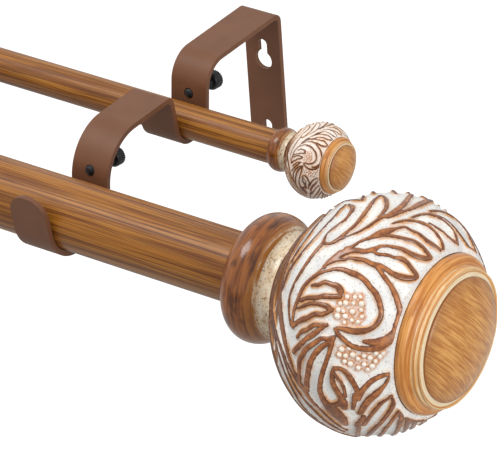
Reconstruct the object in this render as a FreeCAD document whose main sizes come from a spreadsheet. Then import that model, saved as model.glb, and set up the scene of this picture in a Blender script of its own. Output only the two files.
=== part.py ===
"""Double curtain pole on two bent wall brackets, with a carved finial at every end.

Frame: millimetres. X runs along the poles, towards the right finials. Y runs into the wall,
whose surface is the plane y = 0. Z is up. The origin is on the wall, midway between the two
keyholes of the right bracket.
"""
import FreeCAD, Part
import math
import os
from types import SimpleNamespace
import Sketcher

Vector = FreeCAD.Vector
Rotation = FreeCAD.Rotation
Placement = FreeCAD.Placement

# Driving dimensions: lengths in millimetres, angles in degrees
DIMENSIONS = {
    # strap of the wall brackets
    "strap_width": 20,
    "strap_thick": 2.5,
    "plate_below_origin": 35,
    "plate_bend": 5,
    "rear_arm_bend": 14,
    "rear_leg_straight": 10.6,
    "riser_bend": 5,
    "front_arm_bend": 23.5,
    "front_leg_straight": 4.7,
    "leg_lean": 7,
    "lip_lean": 8,
    "lip_rise": 17.5,
    "bracket_spacing": 500,
    "keyhole_pitch": 44,
    "keyhole_entry": 4.8,
    "keyhole_slot": 2.5,
    "keyhole_drop": 8.7,
    # how far a cutting tool runs past what it cuts, and how deep the lip's end cut reaches
    "cut_past": 2,
    "end_cut_depth": 8,
    # places of the two poles, from the wall and from the origin
    "front_height": 22.5,
    "pole_spacing": 88,
    "rear_reach": 75,
    "rear_height": 27,
    # tubes of the two poles
    "front_pole": 16,
    "rear_pole": 8,
    "front_wall": 0.8,
    "rear_wall": 0.7,
    "front_overhang": 106,
    "rear_overhang": 59,
    "telescope_gap": 0.3,
    "inner_shown": 12,
    "front_inner_short": 28,
    "rear_inner_short": 26,
    # room round a pole in its hook, and slack that the lock screw takes up
    "hook_play": 0.8,
    "seat_gap": 0.1,
    "front_slack": 6.5,
    "rear_slack": 3.5,
    # lock screws
    "screw_radius": 2.5,
    "screw_length": 17,
    "screw_above_front": 8,
    "screw_above_rear": 6,
    "tip_stands_out": 0.6,
    "knob_radius": 4.4,
    "knob_thick": 6,
    "thread_gap": 0.05,
    # plugs and studs that hold the finials
    "plug_gap": 0.05,
    "front_plug_length": 22,
    "rear_plug_length": 16,
    "front_stud": 4,
    "rear_stud": 2.5,
    "front_stud_in_ball": 22,
    "rear_stud_in_ball": 9,
    "stud_chamfer": 0.6,
    "front_socket": 4,
    "rear_socket": 2,
    "socket_gap": 0.1,
    # front finial, from the pole outwards
    "front_bead_proud": 13.2,
    "front_bead_half": 9.5,
    "front_bead_land": 4.1,
    "front_bead_fall": 4.5,
    "front_neck_radius": 22,
    "front_neck_length": 7.6,
    "front_cove_depth": 1.6,
    "front_ball_radius": 53.4,
    "front_crown": 36.5,
    "front_face_flatter": 3.7,
    "front_seat_radius": 38.6,
    "front_let_in": 1.6,
    "front_rim_radius": 35.4,
    "front_rim_round": 1.9,
    "front_rim_thick": 6.4,
    "front_rim_to_step": 4.8,
    "front_step_rise": 4.6,
    "front_step_to_dome": 3.2,
    "front_dome_side": 1,
    "front_dome_rise": 7.2,
    "front_tenon_radius": 12,
    "front_tenon_length": 14,
    # rear finial
    "rear_bead_proud": 2.3,
    "rear_bead_half": 3.4,
    "rear_bead_land": 0.6,
    "rear_bead_fall": 1.1,
    "rear_neck_radius": 8.4,
    "rear_neck_length": 3,
    "rear_cove_depth": 0.5,
    "rear_ball_radius": 17.9,
    "rear_crown": 12.2,
    "rear_face_flatter": 1.3,
    "rear_seat_radius": 13.9,
    "rear_let_in": 0.5,
    "rear_rim_radius": 13.2,
    "rear_rim_round": 0.9,
    "rear_rim_thick": 2.3,
    "rear_rim_to_step": 1.6,
    "rear_step_rise": 1.6,
    "rear_step_to_dome": 1.2,
    "rear_dome_side": 0.6,
    "rear_dome_rise": 3.2,
    "rear_tenon_radius": 4.5,
    "rear_tenon_length": 5,
    # carving: a groove's depth over its width, and how far the gouge lifts off past its ends
    "gouge_depth": 0.22,
    "gouge_past": 0.12,
}

# The carver's strokes round a ball. Each has a start, a middle and an end, as (turn round the ball
# in degrees, hundredths of the way from neck to button), and its width over the ball's radius.
# These are cut on both halves of the ball.
CUT_TWICE = {
    "top_leaf_upper": ((92, 41), (64, 38), (34, 29), 0.108),
    "top_leaf_lower": ((101, 54), (80, 61), (62, 48), 0.103),
    "stem_inner": ((-6, 46), (32, 38), (60, 50), 0.080),
    "stem_outer": ((58, 51), (78, 69), (100, 87), 0.084),
    "leaf_third": ((68, 69), (80, 86), (84, 98), 0.103),
    "leaf_second": ((59, 65), (65.5, 84), (66, 98), 0.108),
    "scroll_top": ((46, 50), (56, 71), (51, 90), 0.084),
    "scroll_foot": ((55, 86), (40, 97), (21, 87), 0.103),
    "lobe_first": ((35.5, 46), (40, 57), (41, 68), 0.068),
    "lobe_second": ((24, 44), (30.5, 55), (33, 66), 0.061),
    "lobe_fourth": ((-10, 59), (5, 62), (18.5, 70), 0.080),
    "lobe_fifth": ((8, 71), (-4, 69), (-14, 71), 0.080),
    "fan_first": ((-18, 84), (-8.5, 91), (0, 99), 0.084),
    "channel_inner": ((40, 21), (14, 32), (-14, 52), 0.061),
    "channel_outer": ((20, 11), (0, 31), (-36, 59), 0.080),
    "shoulder_upper": ((86, 33), (68, 31), (49, 24), 0.066),
    "shoulder_lower": ((84, 23), (68, 22), (52, 20), 0.075),
}
# These are cut on one half only.
CUT_ONCE = {
    "back_leaf": ((129, 65), (108, 70), (86, 68), 0.066),
    "leaf_fourth": ((87, 77), (97.5, 88), (97.5, 99), 0.089),
    "leaf_fifth": ((101, 81), (111.5, 88), (115, 98), 0.084),
    "leaf_sixth": ((116, 82), (131, 86), (135, 99), 0.075),
    "fan_third": ((-42, 80), (-29.5, 91), (-20, 99), 0.070),
    "fan_fifth": ((-61, 81), (-49, 91), (-38, 99), 0.070),
}


class Size:
    """A number kept together with the expression on the sheet that gives it."""

    def __init__(self, number, text):
        self.number = number
        self.text = text

    @staticmethod
    def of(value):
        return value if isinstance(value, Size) else Size(float(value), repr(float(value)))

    def combined(self, sign, other, number):
        return Size(number, f"({self.text} {sign} {Size.of(other).text})")

    def __add__(self, other):
        return self.combined("+", other, self.number + Size.of(other).number)

    def __sub__(self, other):
        return self.combined("-", other, self.number - Size.of(other).number)

    def __mul__(self, other):
        return self.combined("*", other, self.number * Size.of(other).number)

    def __truediv__(self, other):
        return self.combined("/", other, self.number / Size.of(other).number)

    def __neg__(self):
        return Size(-self.number, f"(-1 * {self.text})")

    def root(self):
        return Size(math.sqrt(self.number), f"sqrt({self.text})")


class Sheet:
    """The driving dimensions, as cells of the document and as attributes."""

    def __init__(self, doc, dimensions):
        self.cells = doc.addObject("Spreadsheet::Sheet", "sizes")
        for row, (name, value) in enumerate(dimensions.items(), start=1):
            self.cells.set(f"A{row}", name.replace("_", " "))
            self.cells.set(f"B{row}", str(value))
            self.cells.setAlias(f"B{row}", name)
            setattr(self, name, Size(float(value), f"sizes.{name}"))

    def named(self, prefix, name):
        return getattr(self, f"{prefix}_{name}")


doc = FreeCAD.newDocument("double_curtain_pole")
s = Sheet(doc, DIMENSIONS)
s.front_reach = s.rear_reach + s.pole_spacing
doc.recompute()


# Helpers that place and bind the document's objects
def bind(obj, **sizes):
    for name, size in sizes.items():
        obj.setExpression(name, Size.of(size).text)


def place(obj, x=0, y=0, z=0, turn=None):
    """Puts an object at a bound point, turned about it."""
    obj.Placement = Placement(Vector(), turn or Rotation())
    for letter, size in zip("xyz", (x, y, z)):
        obj.setExpression(f"Placement.Base.{letter}", Size.of(size).text)


ALONG_X = Rotation(Vector(0, 0, 1), Vector(1, 0, 0))
ALONG_Y = Rotation(Vector(0, 0, 1), Vector(0, 1, 0))
HALF_TURN = Rotation(Vector(0, 0, 1), 180)
IN_YZ = Rotation(Vector(0, 1, 0), Vector(0, 0, 1), Vector(1, 0, 0), "ZXY")


def cylinder(label, radius, length, x=0, y=0, z=0, turn=ALONG_X):
    rod = doc.addObject("Part::Cylinder", label)
    bind(rod, Radius=radius, Height=length)
    place(rod, x, y, z, turn)
    return rod


def cut(label, base, *tools):
    """Takes the tools away from the base, one after the other."""
    for number, tool in enumerate(tools, start=1):
        piece = doc.addObject("Part::Cut", label if number == len(tools) else f"{label}_cut_{number}")
        piece.Base = base
        piece.Tool = tool
        base = piece
    return base


def fuse(label, *shapes):
    union = doc.addObject("Part::MultiFuse", label)
    union.Shapes = list(shapes)
    return union


def turned(label, corners, arcs):
    """A solid turned about its X axis from a half section.

    corners are (x, radius) pairs of sizes, in order round the section. arcs gives the radius of
    each side that isn't straight, by the number of its first corner: it bulges to the left of
    its run when positive and to the right when negative.
    """
    sketch = doc.addObject("Sketcher::SketchObject", f"{label}_section")
    points = [Vector(x.number, r.number, 0) for x, r in corners]
    for number, start in enumerate(points):
        end = points[(number + 1) % len(points)]
        if number not in arcs:
            sketch.addGeometry(Part.LineSegment(start, end), False)
            continue
        size, side = arcs[number]
        half = (end - start) * 0.5
        across = Vector(-half.y, half.x, 0).normalize() * side
        depth = size.number - math.sqrt(size.number ** 2 - half.Length ** 2)
        middle = start + half + across * depth
        # a sketch keeps its arcs anticlockwise
        first, last = (end, start) if side > 0 else (start, end)
        sketch.addGeometry(Part.Arc(first, middle, last), False)
    first_end = {}
    for number in range(len(points)):
        curve = sketch.Geometry[number]
        starts_here = curve.StartPoint.distanceToPoint(points[number]) < 1e-6
        first_end[number] = (1, 2) if starts_here else (2, 1)
    for number in range(len(points)):
        following = (number + 1) % len(points)
        sketch.addConstraint(Sketcher.Constraint(
            "Coincident", number, first_end[number][1], following, first_end[following][0]))
    for number, (x, r) in enumerate(corners):
        corner = (number, first_end[number][0])
        for size, kind, axis in ((x, "DistanceX", -2), (r, "DistanceY", -1)):
            if size.number == 0:
                sketch.addConstraint(Sketcher.Constraint("PointOnObject", *corner, axis))
            else:
                index = sketch.addConstraint(Sketcher.Constraint(kind, *corner, size.number))
                sketch.setExpression(f"Constraints[{index}]", size.text)
    for number, (size, side) in arcs.items():
        index = sketch.addConstraint(Sketcher.Constraint("Radius", number, size.number))
        sketch.setExpression(f"Constraints[{index}]", size.text)
    turning = doc.addObject("Part::Revolution", label)
    turning.Source = sketch
    turning.Axis = Vector(1, 0, 0)
    turning.Angle = 360
    turning.Solid = True
    return turning


# Brackets
def corner_arc(before, corner, after, radius):
    """The arc of a bend, with its two tangent points."""
    back = (before - corner).normalize()
    ahead = (after - corner).normalize()
    half_angle = back.getAngle(ahead) / 2
    reach = radius / math.tan(half_angle)
    middle_way = (back + ahead).normalize()
    nearest = radius / math.sin(half_angle) - radius
    start = corner + back * reach
    end = corner + ahead * reach
    return start, corner + middle_way * nearest, end


def hook_bend(name):
    return s.named(name, "pole").number + s.hook_play.number


def floor_height(name):
    """Height of the strap's face under a pole."""
    return s.named(name, "height").number - s.named(name, "pole").number - s.seat_gap.number


def arm_height(name):
    """Height of the top of the arm whose leg goes down to a pole's hook."""
    lean = math.radians(s.leg_lean.number)
    bends = (s.named(name, "arm_bend").number + hook_bend(name)) * math.tan((math.pi / 2 - lean) / 2)
    return floor_height(name) + (s.named(name, "leg_straight").number + bends) * math.cos(lean)


def hook_corners(name, lip_height):
    """Corners of the face that looks at a pole: leg, floor and lip, in the YZ plane."""
    axis_y = -s.named(name, "reach").number
    slack = s.named(name, "slack").number
    floor, bend, leg_height = floor_height(name), hook_bend(name), arm_height(name)
    middle = floor + bend
    leg_lean = math.radians(s.leg_lean.number)
    lip_lean = math.radians(s.lip_lean.number)

    def leg_y(z):
        return axis_y + slack + bend / math.cos(leg_lean) + (z - middle) * math.tan(leg_lean)

    def lip_y(z):
        return axis_y - bend / math.cos(lip_lean) - (z - middle) * math.tan(lip_lean)

    return [(leg_y(leg_height), leg_height), (leg_y(floor), floor),
            (lip_y(floor), floor), (lip_y(lip_height), lip_height)]


def strap_corners():
    """Corners of the strap's wall, top and pole faces, from the plate's foot to the lip."""
    rear = hook_corners("rear", arm_height("front"))
    front = hook_corners("front", s.front_height.number + s.lip_rise.number)
    foot = (0, -s.plate_below_origin.number)
    top = (0, arm_height("rear"))
    return [Vector(0, y, z) for y, z in [foot, top] + rear + front]


def bend_radii():
    rear, front = (s.named(name, "pole") + s.hook_play for name in ("rear", "front"))
    return [s.plate_bend, s.rear_arm_bend, rear, rear, s.riser_bend, s.front_arm_bend, front, front]


def strap_line(label, corners):
    """The strap's bent line in the YZ plane: straight runs with a tangent arc at each corner."""
    sketch = doc.addObject("Sketcher::SketchObject", label)
    flat = [Vector(corner.y, corner.z, 0) for corner in corners]
    radii = bend_radii()
    run_start, before = flat[0], None
    for number in range(len(flat) - 1):
        bent = number < len(radii)
        if bent:
            start, middle, end = corner_arc(*flat[number:number + 3], radii[number].number)
        run = sketch.addGeometry(
            Part.LineSegment(run_start, start if bent else flat[-1]), False)
        # each run keeps its slope and its length
        way = (start if bent else flat[-1]) - run_start
        if abs(way.x) < 1e-9:
            sketch.addConstraint(Sketcher.Constraint("Vertical", run))
        elif abs(way.y) < 1e-9:
            sketch.addConstraint(Sketcher.Constraint("Horizontal", run))
        else:
            sketch.addConstraint(Sketcher.Constraint("Angle", run, math.atan2(way.y, way.x)))
        sketch.addConstraint(Sketcher.Constraint("Distance", run, 1, run, 2, way.Length))
        if before:
            sketch.addConstraint(Sketcher.Constraint("Tangent", *before, run, 1))
        if bent:
            # a sketch keeps its arcs anticlockwise
            bends_left = (middle - start).cross(end - middle).z > 0
            first, last = (start, end) if bends_left else (end, start)
            arc = sketch.addGeometry(Part.Arc(first, middle, last), False)
            into, out = (1, 2) if bends_left else (2, 1)
            sketch.addConstraint(Sketcher.Constraint("Tangent", run, 2, arc, into))
            index = sketch.addConstraint(Sketcher.Constraint("Radius", arc, radii[number].number))
            sketch.setExpression(f"Constraints[{index}]", radii[number].text)
            run_start, before = end, (arc, out)
    sketch.addConstraint(Sketcher.Constraint("PointOnObject", 0, 1, -2))
    foot = sketch.addConstraint(Sketcher.Constraint("DistanceY", 0, 1, flat[0].y))
    sketch.setExpression(f"Constraints[{foot}]", (-s.plate_below_origin).text)
    return sketch


def point_on_leg(corners, height):
    """Where a leg's room face stands at a height, from its two corners."""
    above, below = corners
    share = (height - below.z) / (above.z - below.z)
    return below + (above - below) * share


STRAP_CORNERS = strap_corners()
REAR_LEG = STRAP_CORNERS[2:4]
FRONT_LEG = STRAP_CORNERS[6:8]


def keyhole(label, middle_z, x):
    """A round entry with a narrow slot above it, right through the plate."""
    depth = s.strap_thick + s.cut_past * 2
    start_y = -s.strap_thick - s.cut_past
    entry = cylinder(f"{label}_entry", s.keyhole_entry, depth, x, start_y, middle_z, ALONG_Y)
    top = cylinder(f"{label}_top", s.keyhole_slot, depth, x, start_y,
                   middle_z + s.keyhole_drop, ALONG_Y)
    slot = doc.addObject("Part::Box", f"{label}_slot")
    bind(slot, Length=s.keyhole_slot * 2, Width=depth, Height=s.keyhole_drop)
    place(slot, x - s.keyhole_slot, start_y, middle_z)
    return fuse(label, entry, top, slot)


def round_end(label, x, y, z, upwards):
    """What is cut from a strap's end to leave it half round, z being the end's height."""
    radius = s.strap_width / 2
    deep = s.strap_thick * 2 + s.end_cut_depth
    block = doc.addObject("Part::Box", f"{label}_block")
    bind(block, Length=(radius + s.cut_past) * 2, Width=deep, Height=radius + s.cut_past)
    place(block, x - radius - s.cut_past, y - deep / 2,
          z - radius if upwards else z - s.cut_past)
    disc = cylinder(f"{label}_disc", radius, deep, x, y - deep / 2,
                    z - radius if upwards else z + radius, ALONG_Y)
    return cut(label, block, disc)


def screw_axis(leg, height):
    """Where a lock screw's axis crosses the leg's room face, and its direction to the pole."""
    crossing = point_on_leg(leg, height)
    lean = math.radians(s.leg_lean.number)
    return crossing, Vector(0, -math.cos(lean), math.sin(lean))


def bracket(label, x):
    line = strap_line(f"{label}_line", STRAP_CORNERS)
    place(line, x, turn=IN_YZ)
    sheet_face = doc.addObject("Part::Extrusion", f"{label}_face")
    sheet_face.Base = line
    sheet_face.DirMode = "Custom"
    sheet_face.Dir = Vector(1, 0, 0)
    sheet_face.Symmetric = True
    bind(sheet_face, LengthFwd=s.strap_width)
    strap = doc.addObject("Part::Offset", f"{label}_strap")
    strap.Source = sheet_face
    strap.Fill = True
    bind(strap, Value=s.strap_thick)
    lip = STRAP_CORNERS[-1]
    tools = [
        keyhole(f"{label}_upper_keyhole", s.keyhole_pitch / 2, x),
        keyhole(f"{label}_lower_keyhole", -s.keyhole_pitch / 2, x),
        round_end(f"{label}_foot_end", x, Size.of(0), -s.plate_below_origin, False),
        round_end(f"{label}_lip_end", x, Size.of(lip.y), s.front_height + s.lip_rise, True),
    ]
    for name, leg, height in LOCKS:
        crossing, way = screw_axis(leg, height)
        past = s.strap_thick + s.cut_past
        start = crossing - way * past.number
        tools.append(cylinder(f"{label}_{name}_thread", s.screw_radius + s.thread_gap,
                              past * 2, x, start.y, start.z, Rotation(Vector(0, 0, 1), way)))
    return cut(label, strap, *tools)


LOCKS = [
    ("front", FRONT_LEG, s.front_height.number + s.screw_above_front.number),
    ("rear", REAR_LEG, s.rear_height.number + s.screw_above_rear.number),
]


def lock_screw(label, x, leg, height):
    """A thumb screw, its tip just through the leg and its knob behind it."""
    crossing, way = screw_axis(leg, height)
    turn = Rotation(Vector(0, 0, 1), way)
    tip = crossing + way * s.tip_stands_out.number
    foot = tip - way * s.screw_length.number
    back = foot - way * s.knob_thick.number
    shank = cylinder(f"{label}_shank", s.screw_radius, s.screw_length, x, foot.y, foot.z, turn)
    knob = cylinder(f"{label}_knob", s.knob_radius, s.knob_thick, x, back.y, back.z, turn)
    return fuse(label, shank, knob)


# Poles
def pole_tubes(name):
    """The outer tube, held by both brackets, and the inner one that draws out to the left."""
    reach, height = -s.named(name, "reach"), s.named(name, "height")
    radius, wall = s.named(name, "pole"), s.named(name, "wall")
    overhang, socket = s.named(name, "overhang"), s.named(name, "socket")
    right_end = overhang + socket
    left_face = -s.bracket_spacing - overhang
    outer_left = left_face + s.inner_shown
    inner_radius = radius - wall - s.telescope_gap
    inner_left = left_face - socket
    inner_right = right_end - s.named(name, "plug_length") - s.named(name, "inner_short")
    tubes = {
        f"{name}_outer_tube": (radius, right_end - outer_left, outer_left),
        f"{name}_inner_tube": (inner_radius, inner_right - inner_left, inner_left),
    }
    return {
        label: cut(label,
                   cylinder(f"{label}_skin", outside, length, start, reach, height),
                   cylinder(f"{label}_bore", outside - wall, length, start, reach, height))
        for label, (outside, length, start) in tubes.items()
    }


# Finials
def end_of(name, side):
    """The X of a finial's first face and the turn that points its section outwards."""
    overhang = s.named(name, "overhang")
    if side == "right":
        return overhang, None
    return -s.bracket_spacing - overhang, HALF_TURN


def held_tube(name, side):
    """Outside radius of the tube that a finial is fixed to."""
    radius = s.named(name, "pole")
    if side == "right":
        return radius
    return radius - s.named(name, "wall") - s.telescope_gap


def stand(piece, name, side):
    x, turn = end_of(name, side)
    place(piece, x, -s.named(name, "reach"), s.named(name, "height"), turn)
    return piece


def crest_arc(half, fall):
    """Radius of the arc that is level at its crest and has fallen this much after half its run."""
    return (half * half + fall * fall) / (fall * 2)


def bowed_arc(run, fall, depth):
    """Radius of the arc between two points, from how far its middle stands off their line."""
    return ((run * run + fall * fall) / 4 + depth * depth) / (depth * 2)


def collar(label, name, side):
    """Bead and cove, with a socket for the tube and a bore for the stud."""
    zero = Size.of(0)
    bead, half = s.named(name, "pole") + s.named(name, "bead_proud"), s.named(name, "bead_half")
    neck, length = s.named(name, "neck_radius"), s.named(name, "neck_length")
    face = held_tube(name, side) + s.socket_gap
    land = s.named(name, "pole") + s.socket_gap + s.named(name, "bead_land")
    shoulder = bead - s.named(name, "bead_fall")
    bore = s.named(name, "stud") + s.plug_gap
    socket = s.named(name, "socket")
    end = half * 2 + length
    corners = [(zero, face), (zero, land), (half, bead), (half * 2, shoulder),
               (end, neck), (end, bore), (socket, bore), (socket, face)]
    arcs = {1: (crest_arc(half, bead - land), 1), 2: (crest_arc(half, bead - shoulder), 1),
            3: (bowed_arc(length, shoulder - neck, s.named(name, "cove_depth")), -1)}
    return stand(turned(label, corners, arcs), name, side)


def ball_form(name):
    """The three tangent arcs of a ball's profile: radii, centres and the points where they meet."""
    crown = s.named(name, "crown")
    rise = s.named(name, "ball_radius") - crown
    face_arc = s.named(name, "ball_radius") + s.named(name, "face_flatter")
    # the crown meets each face arc on the line through their two centres
    between = face_arc - crown
    centre_in = (between * between - rise * rise).root()
    neck, seat = s.named(name, "neck_radius"), s.named(name, "seat_radius")
    first = s.named(name, "bead_half") * 2 + s.named(name, "neck_length")
    middle = first + (face_arc * face_arc - neck * neck).root() - centre_in
    last = middle + (face_arc * face_arc - seat * seat).root() - centre_in
    return SimpleNamespace(
        crown=crown, rise=rise, face_arc=face_arc, centre_in=centre_in, neck=neck, seat=seat,
        first=first, middle=middle, last=last, join_x=centre_in * crown / between,
        join_r=rise + rise * crown / between)


def turned_ball(label, name, form):
    """The ball off the lathe, bored for the stud and for the button's tenon."""
    zero = Size.of(0)
    bore = s.named(name, "stud") + s.plug_gap
    tenon = s.named(name, "tenon_radius") + s.plug_gap
    pocket = s.named(name, "rim_radius") + s.plug_gap
    floor = seat_of_button(name, form)
    stud_in, tenon_in = s.named(name, "stud_in_ball"), s.named(name, "tenon_length") + s.seat_gap
    corners = [(form.first, bore), (form.first, form.neck),
               (form.middle - form.join_x, form.join_r), (form.middle + form.join_x, form.join_r),
               (form.last, form.seat), (form.last, pocket), (floor, pocket), (floor, tenon),
               (floor - tenon_in, tenon), (floor - tenon_in, zero),
               (form.first + stud_in, zero), (form.first + stud_in, bore)]
    arcs = {1: (form.face_arc, 1), 2: (form.crown, 1), 3: (form.face_arc, 1)}
    return turned(label, corners, arcs)


def seat_of_button(name, form):
    return form.last - s.named(name, "let_in")


def on_ball(form, turn, way):
    """A point on the ball and the direction out of it. Turn 0 looks at the room, and up is plus."""
    length = form.last.number - form.first.number
    along = form.first.number + length * way / 100 - form.middle.number
    if abs(along) < form.join_x.number:
        centre_x, centre_r, radius = 0, form.rise.number, form.crown.number
    else:
        centre_x = -math.copysign(form.centre_in.number, along)
        centre_r, radius = 0, form.face_arc.number
    height = centre_r + math.sqrt(radius ** 2 - (along - centre_x) ** 2)
    spoke = Vector(0, -math.cos(math.radians(turn)), math.sin(math.radians(turn)))
    point = Vector(form.middle.number + along, 0, 0) + spoke * height
    out = Vector(along - centre_x, 0, 0) + spoke * (height - centre_r)
    return point, out.normalize()


def gouge(label, stroke, width):
    """A bent rod that cuts one groove, deepest at its middle and pointed at both ends."""
    depth = width * s.gouge_depth
    rod = (width * width / 4 + depth * depth) / (depth * 2)
    (start, start_out), (middle, middle_out), (end, end_out) = stroke
    start = start + start_out * rod.number
    middle = middle + middle_out * (rod.number - depth.number)
    end = end + end_out * rod.number
    bend = Part.Arc(start, middle, end).toShape().Curve
    axis = (middle - start).cross(end - middle).normalize()
    spoke = (start - bend.Center).normalize()
    last = end - bend.Center
    sweep = math.degrees(math.atan2(last.dot(axis.cross(spoke)), last.dot(spoke))) % 360
    past = sweep * s.gouge_past.number
    section = doc.addObject("Sketcher::SketchObject", f"{label}_section")
    section.addGeometry(Part.Circle(Vector(bend.Radius, 0, 0), Vector(0, 0, 1), rod.number), False)
    section.addConstraint(Sketcher.Constraint("PointOnObject", 0, 3, -1))
    section.addConstraint(Sketcher.Constraint("DistanceX", 0, 3, bend.Radius))
    radius = section.addConstraint(Sketcher.Constraint("Radius", 0, rod.number))
    section.setExpression(f"Constraints[{radius}]", rod.text)
    rod_piece = doc.addObject("Part::Revolution", label)
    rod_piece.Source = section
    rod_piece.Axis = Vector(0, 1, 0)
    rod_piece.Angle = sweep + past * 2
    rod_piece.Solid = True
    stand_up = Rotation(spoke, axis, spoke.cross(axis), "YXZ")
    rod_piece.Placement = Placement(bend.Center, stand_up.multiply(Rotation(Vector(0, 1, 0), -past)))
    return rod_piece


def carved_form(name):
    """The carved ball of one size, standing at the document's origin, to be used at both ends."""
    form = ball_form(name)
    gouges = []
    for strokes, turns in ((CUT_TWICE, (0, 180)), (CUT_ONCE, (0,))):
        for stroke_name, (*marks, share) in strokes.items():
            for half, turn in enumerate(turns, start=1):
                stroke = [on_ball(form, mark + turn, way) for mark, way in marks]
                width = s.named(name, "ball_radius") * share
                gouges.append(gouge(f"{name}_{stroke_name}_{half}", stroke, width))
    plain = turned_ball(f"{name}_turned_ball", name, form)
    return cut(f"{name}_ball_form", plain, fuse(f"{name}_gouges", *gouges)), form


def ball(label, name, side, carved):
    copy = doc.addObject("Part::Compound", label)
    copy.Links = [carved]
    return stand(copy, name, side)


def button(label, name, side, seat_x):
    """Rim, step and dome, with the tenon that is glued into the ball."""
    zero = Size.of(0)
    tenon, tenon_length = s.named(name, "tenon_radius"), s.named(name, "tenon_length")
    rim, thick = s.named(name, "rim_radius"), s.named(name, "rim_thick")
    seat = rim - s.named(name, "rim_round")
    step, step_rise = rim - s.named(name, "rim_to_step"), s.named(name, "step_rise")
    dome, side_rise = step - s.named(name, "step_to_dome"), s.named(name, "dome_side")
    dome_rise = s.named(name, "dome_rise")
    edge = thick / 2
    top = seat_x + thick + step_rise
    corners = [(seat_x - tenon_length, zero), (seat_x - tenon_length, tenon), (seat_x, tenon),
               (seat_x, seat), (seat_x + edge, rim), (seat_x + thick, rim - edge),
               (top, step), (top, dome), (top + side_rise, dome),
               (top + side_rise + dome_rise, zero)]
    arcs = {3: (crest_arc(edge, rim - seat), 1), 4: (edge, 1), 8: (crest_arc(dome, dome_rise), 1)}
    return stand(turned(label, corners, arcs), name, side)


def plug(label, name, side):
    """The threaded insert pressed into the tube's end."""
    length, socket = s.named(name, "plug_length"), s.named(name, "socket")
    outside = held_tube(name, side) - s.named(name, "wall") - s.plug_gap
    bore = s.named(name, "stud") + s.plug_gap
    inner_end = socket - length
    corners = [(inner_end, bore), (inner_end, outside), (socket, outside), (socket, bore)]
    return stand(turned(label, corners, {}), name, side)


def stud(label, name, side):
    """The threaded rod from the plug, through the collar, into the ball."""
    zero = Size.of(0)
    radius, chamfer = s.named(name, "stud"), s.stud_chamfer
    start = s.named(name, "socket") - s.named(name, "plug_length")
    ball_face = s.named(name, "bead_half") * 2 + s.named(name, "neck_length")
    end = ball_face + s.named(name, "stud_in_ball") - s.seat_gap
    corners = [(start, zero), (start, radius - chamfer), (start + chamfer, radius),
               (end - chamfer, radius), (end, radius - chamfer), (end, zero)]
    return stand(turned(label, corners, {}), name, side)


def finial(parts, name, side, carved, form):
    seat_x = seat_of_button(name, form)
    parts[f"{side}_{name}_carved_ball"] = ball(f"{side}_{name}_carved_ball", name, side, carved)
    parts[f"{side}_{name}_collar"] = collar(f"{side}_{name}_collar", name, side)
    parts[f"{side}_{name}_button"] = button(f"{side}_{name}_button", name, side, seat_x)
    parts[f"{side}_{name}_plug"] = plug(f"{side}_{name}_plug", name, side)
    parts[f"{side}_{name}_stud"] = stud(f"{side}_{name}_stud", name, side)


def build():
    parts = {}
    for side, x in (("right", Size.of(0)), ("left", -s.bracket_spacing)):
        parts[f"{side}_bracket"] = bracket(f"{side}_bracket", x)
        for name, leg, height in LOCKS:
            label = f"{side}_{name}_lock_screw"
            parts[label] = lock_screw(label, x, leg, height)
    for name in ("front", "rear"):
        parts.update(pole_tubes(name))
        carved, form = carved_form(name)
        for side in ("right", "left"):
            finial(parts, name, side, carved, form)
    doc.recompute()
    return parts


def check(parts):
    for obj in doc.Objects:
        if "Invalid" in obj.State or "Error" in obj.State:
            raise RuntimeError(f"{obj.Label} failed: {obj.State}")
    for label, obj in parts.items():
        shape = obj.Shape
        if shape.isNull() or not shape.isValid() or not shape.Solids:
            raise RuntimeError(f"{label} has no sound solid")
        if obj.Label != label:
            raise RuntimeError(f"{label} is labelled {obj.Label}")


def export(parts):
    os.makedirs("parts", exist_ok=True)
    for label, obj in parts.items():
        obj.Shape.exportStep(os.path.join("parts", f"{label}.step"))
        box = obj.Shape.BoundBox
        print(f"{label}: {obj.Shape.Volume / 1000:.2f} cm3, "
              f"x {box.XMin:.1f} to {box.XMax:.1f}, y {box.YMin:.1f} to {box.YMax:.1f}, "
              f"z {box.ZMin:.1f} to {box.ZMax:.1f}")


sub_parts = build()
check(sub_parts)
export(sub_parts)
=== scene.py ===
"""Looks of the double curtain pole: two wood-grained poles on painted strap brackets,
with turned collars, leaf-carved balls and domed buttons at their ends."""
import math

import bpy
import numpy as np
from mathutils import Matrix, Vector


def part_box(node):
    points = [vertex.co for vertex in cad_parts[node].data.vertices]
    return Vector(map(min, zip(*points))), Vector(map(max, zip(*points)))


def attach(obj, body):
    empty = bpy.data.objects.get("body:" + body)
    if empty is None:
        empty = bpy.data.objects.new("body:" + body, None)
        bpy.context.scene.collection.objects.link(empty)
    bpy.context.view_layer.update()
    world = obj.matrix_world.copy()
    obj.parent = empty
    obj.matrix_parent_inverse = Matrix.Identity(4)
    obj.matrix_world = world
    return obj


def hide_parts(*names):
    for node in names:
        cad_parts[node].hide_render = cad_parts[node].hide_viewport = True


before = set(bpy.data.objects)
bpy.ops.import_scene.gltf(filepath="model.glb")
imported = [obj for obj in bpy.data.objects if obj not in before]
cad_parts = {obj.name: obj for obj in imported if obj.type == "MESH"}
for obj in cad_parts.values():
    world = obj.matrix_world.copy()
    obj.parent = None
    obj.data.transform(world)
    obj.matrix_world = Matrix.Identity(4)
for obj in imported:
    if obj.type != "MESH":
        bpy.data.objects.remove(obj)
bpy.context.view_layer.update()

MM = 0.001
HALF_TURN = 180                        # degrees

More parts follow.
